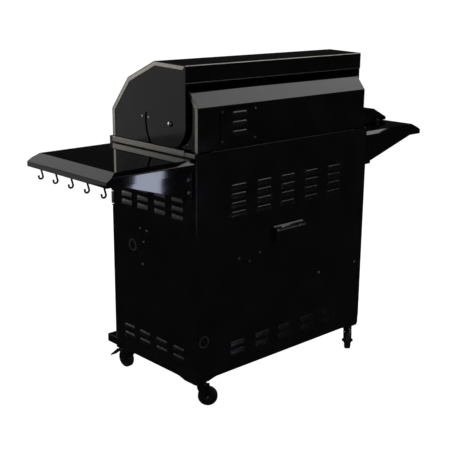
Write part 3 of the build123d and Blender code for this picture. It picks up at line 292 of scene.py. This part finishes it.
POWDER = powder_coat()
PRESSED = pressed_coat()
MIRROR = mirror_enamel()
ENAMEL = porcelain_enamel()
# light grey edge colour: a painted highlight for bent and bevelled edges
EDGE = edge_highlight_enamel()
TRIM = chrome_trim()
STEEL_X = brushed_stainless("brushed stainless, lengthways", (0.02, 1, 1))
STEEL_Z = brushed_stainless("brushed stainless, upright", (1, 1, 0.02))
HOT_STEEL = heat_tinted_steel()
IRON = cast_iron()
ALUMINIUM = cast_aluminium()
ZINC = zinc_plate()
NYLON = moulded_plastic()
PHENOLIC = knob_plastic()
RUBBER = grommet_rubber()
WHITE_PRINT = paint("white marking ink", "#c9c9c6", "#dcdcd8", 0.4)
NEEDLE_RED = paint("signal red lacquer", "#a3170f", "#b81d12", 0.3)
DIAL_FACE = paint("satin dial face", "#d5d3cb", "#dddbd4", 0.45)
GLASS = glass()
TILE = ceramic_tile()


# ---- pieces ---------------------------------------------------------------------------------
def shaded(mesh, angle=32):
    """Smooth shading, sharp over an angle; piece adds the weighting that keeps flat faces flat."""
    for polygon in mesh.polygons:
        polygon.use_smooth = True
    mesh.set_sharp_from_angle(angle=radians(angle))


def piece(name, work, body, material, replaces=(), angle=32, materials=(), wall=0.0, rim=0.0):
    """Turns a bmesh into a finished piece that rides on a body. The wall and the rim are in millimetres."""
    mesh = bpy.data.meshes.new(name)
    work.to_mesh(mesh)
    work.free()
    mesh.materials.append(material)
    for extra in materials:
        mesh.materials.append(extra)
    shaded(mesh, angle)
    made = bpy.data.objects.new(name, mesh)
    bpy.context.scene.collection.objects.link(made)
    if wall:
        skin = made.modifiers.new("wall", "SOLIDIFY")
        skin.thickness = wall * MM
    if rim:
        broken = made.modifiers.new("broken edges", "BEVEL")
        broken.width = rim * MM
        broken.segments = 2
        broken.angle_limit = radians(50)
    flat = made.modifiers.new("weighted normals", "WEIGHTED_NORMAL")
    flat.keep_sharp = True
    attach(made, body)
    if replaces:
        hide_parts(*replaces)
    return made


def face_width(face):
    """Mean width of a face, which for a long strip is its short side."""
    return 2 * face.calc_area() / max(sum(edge.calc_length() for edge in face.edges), 1e-9)


def cleaned(node):
    """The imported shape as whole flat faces, ready for rounding."""
    work = bmesh.new()
    work.from_mesh(nodes[node].data)
    bmesh.ops.remove_doubles(work, verts=work.verts, dist=2e-6)
    bmesh.ops.dissolve_limit(work, angle_limit=radians(0.5), verts=work.verts, edges=work.edges)
    return work


def rounded(node, material, radius=1.6, widest=3.0, shortest=6.0, segments=3, rim=0.0, painted_highlight_bends=None, painted_highlight_faces=None,
            soft=None):
    """The node with its bends rounded: edges longer than shortest between faces wider than widest.

    The new bends and the old faces chosen by the two highlight pickers get the light edge colour, a painted
    highlight.
    The bends that soft picks are rolled to a larger radius first.
    """
    work = cleaned(node)
    if soft:
        rolled = [edge for edge in work.edges if edge.calc_length() > 0.1
                  and soft((edge.verts[0].co + edge.verts[1].co) / 2)]
        bmesh.ops.bevel(work, geom=rolled, offset=6 * MM, segments=6, profile=0.5, affect="EDGES",
                        material=-1, clamp_overlap=False)
    chosen = []
    for edge in work.edges:
        if len(edge.link_faces) != 2 or edge.calc_length() < shortest * MM:
            continue
        if edge.calc_face_angle_signed(0) < radians(25):
            continue
        if min(face_width(face) for face in edge.link_faces) < widest * MM:
            continue
        chosen.append(edge)
    # faces picked here get the light edge colour, a painted highlight
    if painted_highlight_faces:
        for face in work.faces:
            if painted_highlight_faces(face.calc_center_median(), face.normal):
                face.material_index = 1
    if chosen:
        bends = bmesh.ops.bevel(work, geom=chosen, offset=radius * MM, offset_type="OFFSET",
                                segments=segments, profile=0.5, affect="EDGES", material=-1,
                                clamp_overlap=False)["faces"]
        # bends picked here get the light edge colour, a painted highlight; the rest keep the main finish
        for face in bends:
            face.material_index = int(bool(painted_highlight_bends and painted_highlight_bends(face.calc_center_median(), face.normal)))
    return piece(f"{node}_skin", work, body_of[node], material, (node,), rim=rim,
                 materials=(EDGE,))


def lathe(profile, centre, axis, steps=48):
    """Solid of revolution from (radius, height) points in millimetres, round an axis at centre."""
    work = bmesh.new()
    points = [work.verts.new((radius * MM, 0, height * MM)) for radius, height in profile]
    edges = [work.edges.new(pair) for pair in zip(points, points[1:])]
    bmesh.ops.spin(work, geom=points + edges, cent=(0, 0, 0), axis=(0, 0, 1), angle=2 * pi,
                   steps=steps, use_merge=True)
    bmesh.ops.remove_doubles(work, verts=work.verts, dist=1e-6)
    bmesh.ops.recalc_face_normals(work, faces=work.faces)
    turn = Vector(axis).to_track_quat("Z", "Y").to_matrix().to_4x4()
    bmesh.ops.transform(work, matrix=Matrix.Translation(centre) @ turn, verts=work.verts)
    return work


def merged(parts):
    """One bmesh from several."""
    whole = bmesh.new()
    for part in parts:
        mesh = bpy.data.meshes.new("part")
        part.to_mesh(mesh)
        part.free()
        whole.from_mesh(mesh)
        bpy.data.meshes.remove(mesh)
    return whole


def centre_of(node):
    """Middle of a node's box, in metres."""
    low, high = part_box(node)
    return (low + high) / 2


def box_mm(node):
    """Low and high corners of a node's box, in millimetres."""
    low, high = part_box(node)
    return low / MM, high / MM


def cut(work, spot, direction, clear_inner=False):
    """Cuts the whole bmesh along a plane."""
    bmesh.ops.bisect_plane(work, geom=work.verts[:] + work.edges[:] + work.faces[:], plane_co=spot,
                           plane_no=direction, clear_inner=clear_inner)


def bar(low, high, edge=0.08, segments=1):
    """Small bar with broken edges between two corners, in millimetres."""
    work = bmesh.new()
    bmesh.ops.create_cube(work, size=1.0)
    low, high = Vector(low), Vector(high)
    bmesh.ops.scale(work, vec=(high - low) * MM, verts=work.verts)
    bmesh.ops.translate(work, vec=(low + high) / 2 * MM, verts=work.verts)
    bmesh.ops.bevel(work, geom=work.edges[:], offset=edge * MM, segments=segments, profile=0.5,
                    affect="EDGES", material=-1)
    return work


# ---- louvred sheets -------------------------------------------------------------------------
LOUVRE_RISE = 5.0
LOUVRE_HEIGHT = 17.0
LOUVRE_SWELL = 6.5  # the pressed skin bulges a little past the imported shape
LOUVRE_END = 9.0  # how long each rounded end is
SHEET = 1.5
FRONT_LIP = 24  # how far each side panel turns in at the front
RAIL_GAP = 0.5  # between a side panel and the trim rail on it
HOOD_WALL = 8  # from the hose hood's sides to the hole behind it
HOOD_HOLE = 36  # height of that hole


def louvres_of(node, across, out, sign):
    """Middle, foot and width of each of a panel's louvres in millimetres, from their outermost edges."""
    spots = [vertex.co / MM for vertex in nodes[node].data.vertices]
    far = max(spot[out] * sign for spot in spots)
    rows = {}
    for spot in spots:
        if spot[out] * sign > far - 0.5:
            rows.setdefault(round(spot.z, 1), set()).add(round(spot[across], 1))
    found = []
    for foot, ends in rows.items():
        ends = sorted(ends)
        found += [((a + b) / 2, foot, b - a) for a, b in zip(ends[::2], ends[1::2])]
    return found


def scoop(width, place):
    """Pressed louvre with round ends, drawn along X and standing out along Y, open below."""
    work = bmesh.new()
    bmesh.ops.create_uvsphere(work, u_segments=20, v_segments=10, radius=1.0)
    for normal in ((0, 1, 0), (0, 0, 1)):
        cut(work, (0, 0, 0), normal, clear_inner=True)
    size = Vector((LOUVRE_END, LOUVRE_SWELL, LOUVRE_HEIGHT)) * MM
    bmesh.ops.scale(work, vec=size, verts=work.verts)
    for side in (1, -1):
        half = [vertex for vertex in work.verts if vertex.co.x * side > 0.1 * MM]
        bmesh.ops.translate(work, vec=(side * (width / 2 - LOUVRE_END) * MM, 0, 0), verts=half)
    bmesh.ops.transform(work, matrix=place, verts=work.verts)
    return work


def folded_sheet(corners, low, high, holes, across, fold=2.5):
    """Upright sheet whose outer face runs through corners in plan, with oblong holes, in millimetres.

    A hole is (low, high) along the across axis, then (low, high) along Z.
    """
    work = bmesh.new()
    feet = [work.verts.new((x * MM, y * MM, low * MM)) for x, y in corners]
    lines = [work.edges.new(pair) for pair in zip(feet, feet[1:])]
    risen = bmesh.ops.extrude_edge_only(work, edges=lines)["geom"]
    top = [item for item in risen if isinstance(item, bmesh.types.BMVert)]
    bmesh.ops.translate(work, vec=(0, 0, (high - low) * MM), verts=top)
    folds = [edge for edge in work.edges if len(edge.link_faces) == 2]
    if folds:
        bmesh.ops.bevel(work, geom=folds, offset=fold * MM, segments=4, profile=0.5, affect="EDGES",
                        material=-1)
    normal = Vector((across == 0, across == 1, 0))
    cuts = {(tuple(normal), value) for hole in holes for value in hole[0]}
    cuts |= {((0.0, 0.0, 1.0), value) for hole in holes for value in hole[1]}
    for direction, value in sorted(cuts):
        cut(work, Vector(direction) * value * MM, direction)
    gone = []
    for face in work.faces:
        spot = face.calc_center_median() / MM
        if abs(face.normal[across]) < 0.5 and any(
                a[0] < spot[across] < a[1] and z[0] < spot.z < z[1] for a, z in holes):
            gone.append(face)
    bmesh.ops.delete(work, geom=gone, context="FACES")
    bmesh.ops.dissolve_limit(work, angle_limit=radians(0.5), verts=work.verts, edges=work.edges)
    return work


def louvre_holes(louvres):
    """The slot in the sheet behind each louvre."""
    inset = LOUVRE_END * 0.7
    return [((x - width / 2 + inset, x + width / 2 - inset), (z + 0.5, z + LOUVRE_HEIGHT * 0.6))
            for x, z, width in louvres]


def scoops(name, node, louvres, turn, face, material):
    """All the louvres of one panel, as one piece."""
    shells = []
    for x, z, width in louvres:
        spot = Vector((x, face, z)) if turn == 0 else Vector((face, x, z))
        place = Matrix.Translation(spot * MM) @ Matrix.Rotation(radians(turn), 4, "Z")
        shells.append(scoop(width, place))
    piece(name, merged(shells), body_of[node], material, angle=60, wall=0.8)


# Back panel: one flat sheet with a hole behind the hose hood.
low, high = box_mm("back_panel")
hood_low, hood_high = box_mm("hose_hood")
back_face = high.y - LOUVRE_RISE
back_louvres = louvres_of("back_panel", 0, 1, 1)
back_holes = louvre_holes(back_louvres)
back_holes.append(((hood_low.x + HOOD_WALL, hood_high.x - HOOD_WALL), (hood_low.z, hood_low.z + HOOD_HOLE)))
panel = folded_sheet([(high.x, back_face), (low.x, back_face)], low.z, high.z, back_holes, 0)
piece("back_panel_sheet", panel, "cabinet", POWDER, ("back_panel",), wall=SHEET,
      rim=0.4)
scoops("back_panel_louvres", "back_panel", back_louvres, 0, back_face, PRESSED)

# Side panels: front lip, side and rear return folded from one sheet.
for side, node in ((1, "side_panel_right"), (-1, "side_panel_left")):
    low, high = box_mm(node)
    outer = (high.x if side > 0 else low.x) - side * LOUVRE_RISE
    inner_edge = low.x if side > 0 else high.x
    rail_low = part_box("top_rails")[0].z / MM
    louvres = louvres_of(node, 1, 0, side)
    holes = louvre_holes(louvres)
    corners = [(outer - side * FRONT_LIP, low.y), (outer, low.y), (outer, high.y), (inner_edge, high.y)]
    if side < 0:
        corners.reverse()
    work = folded_sheet(corners, low.z, high.z, holes, 1)
    # the side itself stops under the trim rail, and only the rear return goes up to the deck
    stop = (rail_low - RAIL_GAP) * MM
    return_face = (high.y - SHEET) * MM
    cut(work, (0, 0, stop), (0, 0, 1))
    cut(work, (0, return_face, 0), (0, 1, 0))
    above = [face for face in work.faces
             if face.calc_center_median().z > stop and face.calc_center_median().y < return_face]
    bmesh.ops.delete(work, geom=above, context="FACES")
    piece(f"{node}_sheet", work, "cabinet", POWDER, (node,), wall=SHEET, rim=0.4)
    scoops(f"{node}_louvres", node, louvres, -90 * side, outer, PRESSED)

# Screwed vent plate on the cowl.
low, high = box_mm("cowl_vent")
vent_face = high.y - LOUVRE_RISE
vent_louvres = louvres_of("cowl_vent", 0, 1, 1)
plate = folded_sheet([(high.x, vent_face), (low.x, vent_face)], low.z, high.z,
                     louvre_holes(vent_louvres), 0)
piece("cowl_vent_sheet", plate, "cabinet", ENAMEL, ("cowl_vent",), wall=SHEET)
scoops("cowl_vent_louvres", "cowl_vent", vent_louvres, 0, vent_face, PRESSED)


# ---- other sheet and bar parts --------------------------------------------------------------
PARTS = {
    POWDER: ("base_tray", "corner_feet", "door_right", "door_left", "control_panel", "inner_frame",
             "hose_hood", "firebox", "tool_hooks"),
    MIRROR: ("shelf_brackets", "side_burner_cover"),
    TRIM: ("top_rails",),
    HOT_STEEL: ("flame_tamers", "warming_rack", "main_burners"),
    STEEL_X: ("lid_handle", "drip_tray", "grease_cup", "side_burner_pan"),
    STEEL_Z: ("door_handle_right", "door_handle_left", "knob_bezels"),
    IRON: ("cooking_grates", "side_burner_trivet"),
    ALUMINIUM: ("side_burner_ring", "gas_valves"),
    ZINC: ("gas_manifold", "door_hardware"),
    PHENOLIC: ("igniter_button", "side_burner_knob", "knob_1", "knob_2", "knob_3", "knob_4", "knob_5"),
    RUBBER: ("cable_grommets",),
    NEEDLE_RED: ("thermometer_needle",),
}
for material, members in PARTS.items():
    for member in members:
        rounded(member, material)
rounded("rear_burner", HOT_STEEL)
for side in ("right", "left"):
    rounded(f"shelf_{side}", MIRROR, 2.0, rim=0.4, painted_highlight_bends=lambda spot, normal: False)

# Lid: the skirt's hem, the rear top edge and the rim on each end carry the light edge colour, a painted highlight.
lid_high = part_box("lid_shell")[1]
lid_rear_top = max(vertex.co.z for vertex in nodes["lid_shell"].data.vertices
                   if vertex.co.y > lid_high.y - 0.00005)


def lid_fold_highlight(spot, normal):
    """The fold between the lid's top and its rear skirt, which gets a painted highlight."""
    return spot.y > lid_high.y - 0.006 and spot.z > lid_rear_top - 0.006


rounded("lid_shell", ENAMEL, 3.0, rim=0.4, painted_highlight_bends=lid_fold_highlight)
for side in ("right", "left"):
    rounded(f"lid_end_{side}", ENAMEL, 1.2, widest=2.5, rim=0.3,
            painted_highlight_faces=lambda spot, normal: abs(normal.x) > 0.9 and abs(spot.x) > lid_high.x - 0.0002)
rounded("thermometer_case", STEEL_X, 1.2)


def edge_band(points, width, x_from, x_to):
    """Strip along a bent edge in the YZ plane, points and sizes in millimetres, running between two X."""
    work = bmesh.new()
    outer = [Vector((0, y, z)) for y, z in points]
    pairs = []
    for i, spot in enumerate(outer):
        lines = []
        if i > 0:
            lines.append((spot - outer[i - 1]).normalized())
        if i < len(outer) - 1:
            lines.append((outer[i + 1] - spot).normalized())
        inward = [Vector((0, -line.z, line.y)) for line in lines]
        middle = sum(inward, Vector()).normalized()
        reach = width / max(middle.dot(inward[0]), 0.2)
        pairs.append((spot, spot + middle * reach))
    ring = [work.verts.new(Vector((x_from, a.y, a.z)) * MM) for a, _ in pairs]
    ring += [work.verts.new(Vector((x_from, b.y, b.z)) * MM) for _, b in reversed(pairs)]
    face = work.faces.new(ring)
    risen = bmesh.ops.extrude_face_region(work, geom=[face])["geom"]
    moved = [item for item in risen if isinstance(item, bmesh.types.BMVert)]
    bmesh.ops.translate(work, vec=((x_to - x_from) * MM, 0, 0), verts=moved)
    bmesh.ops.recalc_face_normals(work, faces=work.faces)
    return work


cowl_low, cowl_high = box_mm("rear_cowl")
cowl_spots = [vertex.co / MM for vertex in nodes["rear_cowl"].data.vertices]
cowl_knee = max(round(spot.z, 1) for spot in cowl_spots if spot.y > cowl_high.y - 0.05)
cowl_corner = max(cowl_spots, key=lambda spot: spot.y + spot.z)
cowl_top = (cowl_corner.y, cowl_corner.z)
rounded("rear_cowl", ENAMEL, 2.0, rim=0.4,
        soft=lambda spot: (spot / MM - cowl_corner).yz.length < 0.5)
# light strips of the edge colour along each end of the cowl: a painted highlight on the end edges
for side in (1, -1):
    lip = edge_band([(cowl_high.y, cowl_low.z), (cowl_high.y, cowl_knee), cowl_top], 13.0,
                    side * cowl_high.x, side * (cowl_high.x + 0.4))
    piece(f"cowl_lip_highlight_{'right' if side > 0 else 'left'}", lip, "cabinet", EDGE)


lid_spots = [vertex.co / MM for vertex in nodes["lid_shell"].data.vertices]
hem_z = min(spot.z for spot in lid_spots if spot.y > lid_high.y / MM - 0.05)
half = lid_high.x / MM
rear = lid_high.y / MM
# light strip of the edge colour along the lid skirt's hem: a painted highlight
hem = bar((-half + 1, rear - 1.6, hem_z - 0.4), (half - 1, rear + 0.6, hem_z + 2.2), 0.12, 2)
piece("lid_hem_highlight", hem, "lid", EDGE)
low, high = box_mm("back_panel")
# light strip of the edge colour along the back panel's top edge: a painted highlight
hem = bar((low.x, high.y - 6.6, high.z - 1.4), (high.x, high.y - 4.6, high.z + 0.2), 0.12, 2)
piece("back_panel_hem_highlight", hem, "cabinet", EDGE)


# ---- casters --------------------------------------------------------------------------------
joint_of = {joint["name"]: joint for joint in frame["joints"]}
WHEEL = [
    (4.2, -11.0), (8.5, -11.6), (9.5, -11.0), (10.0, -8.0), (14.0, -7.0), (22.0, -7.0), (26.0, -8.5),
    (27.0, -11.6), (29.0, -12.0), (31.5, -11.6), (33.8, -9.6), (35.0, -6.0), (35.0, 6.0), (33.8, 9.6),
    (31.5, 11.6), (29.0, 12.0), (27.0, 11.6), (26.0, 8.5), (22.0, 7.0), (14.0, 7.0), (10.0, 8.0),
    (9.5, 11.0), (8.5, 11.6), (4.2, 11.0), (4.2, -11.0),
]
NUT_OUT = 19.4  # from the wheel's middle to the foot of each axle nut


def hex_nut(centre, axis, across, height):
    """Hexagon nut or bolt head with a broken edge, standing out from centre along axis."""
    work = bmesh.new()
    bmesh.ops.create_cone(work, cap_ends=True, segments=6, radius1=across / 2 * MM,
                          radius2=across / 2 * MM, depth=height * MM)
    bmesh.ops.bevel(work, geom=work.edges[:], offset=0.35 * MM, segments=2, profile=0.5,
                    affect="EDGES", material=-1)
    bmesh.ops.translate(work, vec=(0, 0, height / 2 * MM), verts=work.verts)
    turn = Vector(axis).to_track_quat("Z", "Y").to_matrix().to_4x4()
    bmesh.ops.transform(work, matrix=Matrix.Translation(centre) @ turn, verts=work.verts)
    return work


for corner in ("rear_right", "rear_left", "front_right", "front_left"):
    fork, tyre = f"caster_fork_{corner}", f"caster_wheel_{corner}"
    rounded(fork, POWDER, 0.8, 2.0, 3.0)
    axis = Vector(joint_of[f"wheel_{corner}_roll"]["axis"]).normalized()
    hub = centre_of(tyre)
    piece(f"{tyre}_tyre", lathe(WHEEL, hub, axis, 64), f"wheel_{corner}", NYLON, (tyre,),
          angle=28)
    nuts = [hex_nut(hub + axis * s * NUT_OUT * MM, axis * s, 11.0, 2.6) for s in (1, -1)]
    piece(f"axle_nuts_{corner}", merged(nuts), f"caster_{corner}", ZINC, angle=20)
    if corner.startswith("front"):
        rounded(f"brake_pedal_{corner}", NYLON, 0.8, 2.0, 3.0)


# ---- screws and bolts -----------------------------------------------------------------------
def islands(node):
    """The low and high corners of each separate solid in a node, in millimetres."""
    work = bmesh.new()
    work.from_mesh(nodes[node].data)
    bmesh.ops.remove_doubles(work, verts=work.verts, dist=2e-6)
    left, found = set(work.verts), []
    while left:
        group, front = set(), [left.pop()]
        while front:
            vertex = front.pop()
            group.add(vertex)
            near = {edge.other_vert(vertex) for edge in vertex.link_edges} & left
            left -= near
            front += near
        spots = [vertex.co / MM for vertex in group]
        lowest = [min(spot[i] for spot in spots) for i in range(3)]
        highest = [max(spot[i] for spot in spots) for i in range(3)]
        found.append((lowest, highest))
    work.free()
    return found


BOLT_HEAD = 5.0  # how far each kind of head stands out
SCREW_HEAD = 2.4
LOW_HEAD = 1.2  # the screws beside the lid's end plates
BACK_MIDDLE = 27.0  # the cabinet's middle lies this far back
screws, bolts = [], []
for low, high in islands("fasteners"):
    size = [high[i] - low[i] for i in range(3)]
    way = max((0, 1), key=lambda i: abs(size[i] - size[2]))
    middle = [(low[i] + high[i]) / 2 for i in range(3)]
    out = 1 if middle[way] > (0, BACK_MIDDLE)[way] else -1
    radius = size[2] / 2
    spot = Vector(middle)
    spot[way] = high[way] if out > 0 else low[way]
    axis = Vector([out * (i == way) for i in range(3)])
    beside_lid = way == 0 and abs(middle[0]) > 415 and middle[2] > 905
    head = BOLT_HEAD if radius > 6 else LOW_HEAD if beside_lid else SCREW_HEAD
    foot = (spot - axis * head) * MM
    if radius > 8:
        screws.append(lathe([(0, 0), (radius, 0), (radius, 1.2), (radius * 0.85, 3.2), (radius * 0.5, 4.6),
                             (0, head)], foot, axis, 32))
    elif radius > 6:
        bolts.append(hex_nut(foot + axis * 1.2 * MM, axis, radius * 2, head - 1.2))
        bolts.append(lathe([(0, 0), (radius, 0), (radius, 0.9), (radius - 0.4, 1.2), (0, 1.2)],
                           foot, axis, 24))
    else:
        screws.append(lathe([(0, 0), (radius, 0), (radius, head * 0.35), (radius * 0.8, head * 0.8),
                             (radius * 0.45, head), (radius * 0.4, head * 0.45), (0, head * 0.45)],
                            foot, axis, 20))
piece("screw_heads", merged(screws), "cabinet", ZINC, ("fasteners",), angle=24)
piece("bracket_bolts", merged(bolts), "cabinet", PRESSED, angle=24)


# ---- thermometer ----------------------------------------------------------------------------
needle_joint = joint_of["thermometer_needle_turn"]
dial_axis = -Vector(needle_joint["axis"]).normalized()
dial_hub = Vector(needle_joint["pos_m"])
dial_turn = dial_axis.to_track_quat("Z", "Y").to_matrix().to_4x4()


def on_dial(work, height):
    """Lays a flat piece on the dial, height millimetres above the needle's pivot height."""
    place = Matrix.Translation(dial_hub + dial_axis * height * MM) @ dial_turn
    bmesh.ops.transform(work, matrix=place, verts=work.verts)
    return work


TICK_START = -135  # degrees clockwise from the top
TICK_STEP = 10
TICK_REACH = 31  # from the dial's middle to the ticks' outer ends
FACE_R = 34.6
ticks = []
for step in range(28):
    angle = radians(TICK_START + step * TICK_STEP)
    long = 6.0 if step % 3 == 0 else 3.5
    tick = bmesh.new()
    bmesh.ops.create_cube(tick, size=1.0)
    bmesh.ops.scale(tick, vec=(0.7 * MM, long * MM, 0.2 * MM), verts=tick.verts)
    bmesh.ops.translate(tick, vec=(0, (TICK_REACH - long / 2) * MM, 0), verts=tick.verts)
    bmesh.ops.rotate(tick, matrix=Matrix.Rotation(-angle, 3, "Z"), verts=tick.verts)
    ticks.append(on_dial(tick, -1.6))
piece("dial_ticks", merged(ticks), "lid", PHENOLIC)
face = lathe([(0, 0), (FACE_R, 0), (FACE_R, 0.2), (0, 0.2)], dial_hub - dial_axis * 1.95 * MM,
             dial_axis, 64)
piece("dial_face", face, "lid", DIAL_FACE)
lens = lathe([(0, 0), (FACE_R, 0), (FACE_R, 0.8), (FACE_R - 0.8, 1.4), (0, 1.4)],
             dial_hub + dial_axis * 5.0 * MM, dial_axis, 64)
piece("dial_lens", lens, "lid", GLASS)


# ---- marks on the controls ------------------------------------------------------------------
BURNER_KNOBS = [f"knob_{i}" for i in range(1, 6)]
MARK_AWAY = 39.0  # from a knob's middle to its marks
for name in BURNER_KNOBS + ["side_burner_knob"]:
    low, high = box_mm(name)
    x, z, reach = (low.x + high.x) / 2, (low.z + high.z) / 2, (high.z - low.z) / 2
    line = bar((x - 0.8, low.y - 0.1, z + reach * 0.35), (x + 0.8, low.y + 0.3, z + reach * 0.85))
    piece(f"{name}_line", line, body_of[name], WHITE_PRINT)
panel_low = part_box("control_panel")[0] / MM
dots = []
for name in BURNER_KNOBS:
    low, high = box_mm(name)
    x, z = (low.x + high.x) / 2, (low.z + high.z) / 2
    for turn in (0, 45, 90, 135, 180):
        size = 1.8 if turn in (0, 180) else 1.2
        spot = (x - MARK_AWAY * sin(radians(turn)), z + MARK_AWAY * cos(radians(turn)))
        dots.append(bar((spot[0] - size, panel_low.y - 0.15, spot[1] - size),
                        (spot[0] + size, panel_low.y + 0.1, spot[1] + size)))
piece("control_panel_marks", merged(dots), "cabinet", WHITE_PRINT)


# ---- burners --------------------------------------------------------------------------------
BURNER_R = 12.5
PORT_ROWS = (0.94, -0.94)  # each row faces outwards and 20 degrees up
PORT_COUNT = 26
PORT_PITCH = 11.0
PORT_START = 40  # from the burner's front end to the first port
PORT_LIFT = 0.05  # how far a port's dark disc lies off the tube
port_shades = []
# each port is drawn as a dark disc on the tube, a painted shade standing in for the hole
for low, high in islands("main_burners"):
    x, z = (low[0] + high[0]) / 2, low[2] + BURNER_R
    for row in PORT_ROWS:
        out = Vector((row, 0, 0.342))
        turn = out.to_track_quat("Z", "Y").to_matrix().to_4x4()
        for step in range(PORT_COUNT):
            middle = Vector((x, low[1] + PORT_START + step * PORT_PITCH, z))
            spot = (middle + out * (BURNER_R + PORT_LIFT)) * MM
            disc = bmesh.new()
            bmesh.ops.create_circle(disc, cap_ends=True, segments=8, radius=1.5 * MM)
            bmesh.ops.transform(disc, matrix=Matrix.Translation(spot) @ turn, verts=disc.verts)
            port_shades.append(disc)
piece("burner_port_shades", merged(port_shades), "cabinet", RUBBER)

TILE_COUNT = 4
TILE_MARGIN = 20  # from the burner's ends to the first and last tile
TILE_JOINT = 1  # half of the joint between two tiles
TILE_EDGE = 16  # of the burner's frame above and below the tiles
tile_low, tile_high = box_mm("rear_burner")
tile_width = (tile_high.x - tile_low.x - 2 * TILE_MARGIN) / TILE_COUNT
tiles = []
for k in range(TILE_COUNT):
    start = tile_low.x + TILE_MARGIN + k * tile_width
    near = (start + TILE_JOINT, tile_low.y - 0.6, tile_low.z + TILE_EDGE)
    far = (start + tile_width - TILE_JOINT, tile_low.y + 0.4, tile_high.z - TILE_EDGE)
    tiles.append(bar(near, far))
piece("rear_burner_tiles", merged(tiles), "cabinet", TILE)


# ---- studio ---------------------------------------------------------------------------------
def glowing(name, colour, strength, base):
    """Matte white that also glows a little, so the ground stays pale everywhere."""
    material, tree, shader = surface(name, Roughness=0.9, Specular_IOR_Level=0.0)
    shader.inputs["Base Color"].default_value = linear(base)
    shader.inputs["Emission Color"].default_value = linear(colour)
    shader.inputs["Emission Strength"].default_value = strength
    return material


def standing(name, work, material):
    """Scenery around the grill, which the enamel doesn't mirror."""
    bmesh.ops.recalc_face_normals(work, faces=work.faces)
    mesh = bpy.data.meshes.new(name)
    work.to_mesh(mesh)
    work.free()
    mesh.materials.append(material)
    scenery = bpy.data.objects.new(name, mesh)
    bpy.context.scene.collection.objects.link(scenery)
    scenery.visible_glossy = False
    return scenery


FLOOR_R = 160
BACKDROP_R = 30
BACKDROP_HEIGHT = 60


def ground():
    """Plain pale floor, and a pale backdrop far behind it that gives no light of its own."""
    white = glowing("matte floor", "#ffffff", 1.02, "#d8d8d8")
    work = bmesh.new()
    bmesh.ops.create_circle(work, cap_ends=True, segments=64, radius=FLOOR_R)
    standing("floor", work, white)
    work = bmesh.new()
    bmesh.ops.create_cone(work, cap_ends=False, segments=64, radius1=BACKDROP_R, radius2=BACKDROP_R,
                          depth=BACKDROP_HEIGHT)
    backdrop = standing("backdrop", work, white)
    backdrop.visible_diffuse = False
    backdrop.visible_shadow = False


def softbox(name, at, target, size, radiance, tint="#ffffff"):
    """Rectangular softbox of a given brightness."""
    lamp = bpy.data.lights.new(name, "AREA")
    lamp.shape = "RECTANGLE"
    lamp.size, lamp.size_y = size
    lamp.energy = radiance * pi * size[0] * size[1]
    lamp.color = linear(tint)[:3]
    holder = bpy.data.objects.new(name, lamp)
    bpy.context.scene.collection.objects.link(holder)
    holder.location = at
    holder.rotation_euler = (Vector(target) - Vector(at)).to_track_quat("-Z", "Y").to_euler()


def camera(azimuth, elevation, roll, place, lens):
    """Camera looking from an azimuth and elevation, in degrees."""
    data = bpy.data.cameras.new("camera")
    data.lens = lens
    data.sensor_width = 36.0
    data.clip_end = 400.0
    holder = bpy.data.objects.new("camera", data)
    bpy.context.scene.collection.objects.link(holder)
    a, e = radians(azimuth), radians(elevation)
    back = Vector((sin(a) * cos(e), -cos(a) * cos(e), sin(e)))
    holder.location = place
    holder.rotation_mode = "QUATERNION"
    holder.rotation_quaternion = (-back).to_track_quat("-Z", "Y") @ Quaternion((0, 0, 1), radians(roll))
    bpy.context.scene.camera = holder


ground()
camera(137.31, 15.23, 0.39, (2.2858, 2.4014, 1.4387), 71.41)
softbox("overhead", (-1.9, 1.25, 2.95), (0, 0.2, 1.0), (2.0, 1.2), 2.0)
softbox("side", (2.2, -2.4, 1.0), (0.4, 0, 0.9), (2.4, 1.6), 0.4)
softbox("window glint", (-0.83, 2.14, 0.2), (0.63, 0.25, 0.85), (0.17, 0.42), 8.0, "#dfe6ff")
softbox("fill", (2.5, 2.5, 3.0), (0, 0, 0.8), (2.0, 2.0), 0.5)
softbox("shelf slope", (0.45, -3.3, 3.1), (0.77, 0, 0.87), (1.6, 1.4), 0.8)
softbox("front", (1.6, -3.3, 1.5), (0, -0.3, 0.7), (1.2, 1.6), 3.0)
world = bpy.data.worlds.new("studio")
world.use_nodes = True
world.node_tree.nodes["Background"].inputs["Color"].default_value = linear("#ffffff")
world.node_tree.nodes["Background"].inputs["Strength"].default_value = 0.012
bpy.context.scene.world = world
bpy.context.scene.view_settings.view_transform = "Standard"
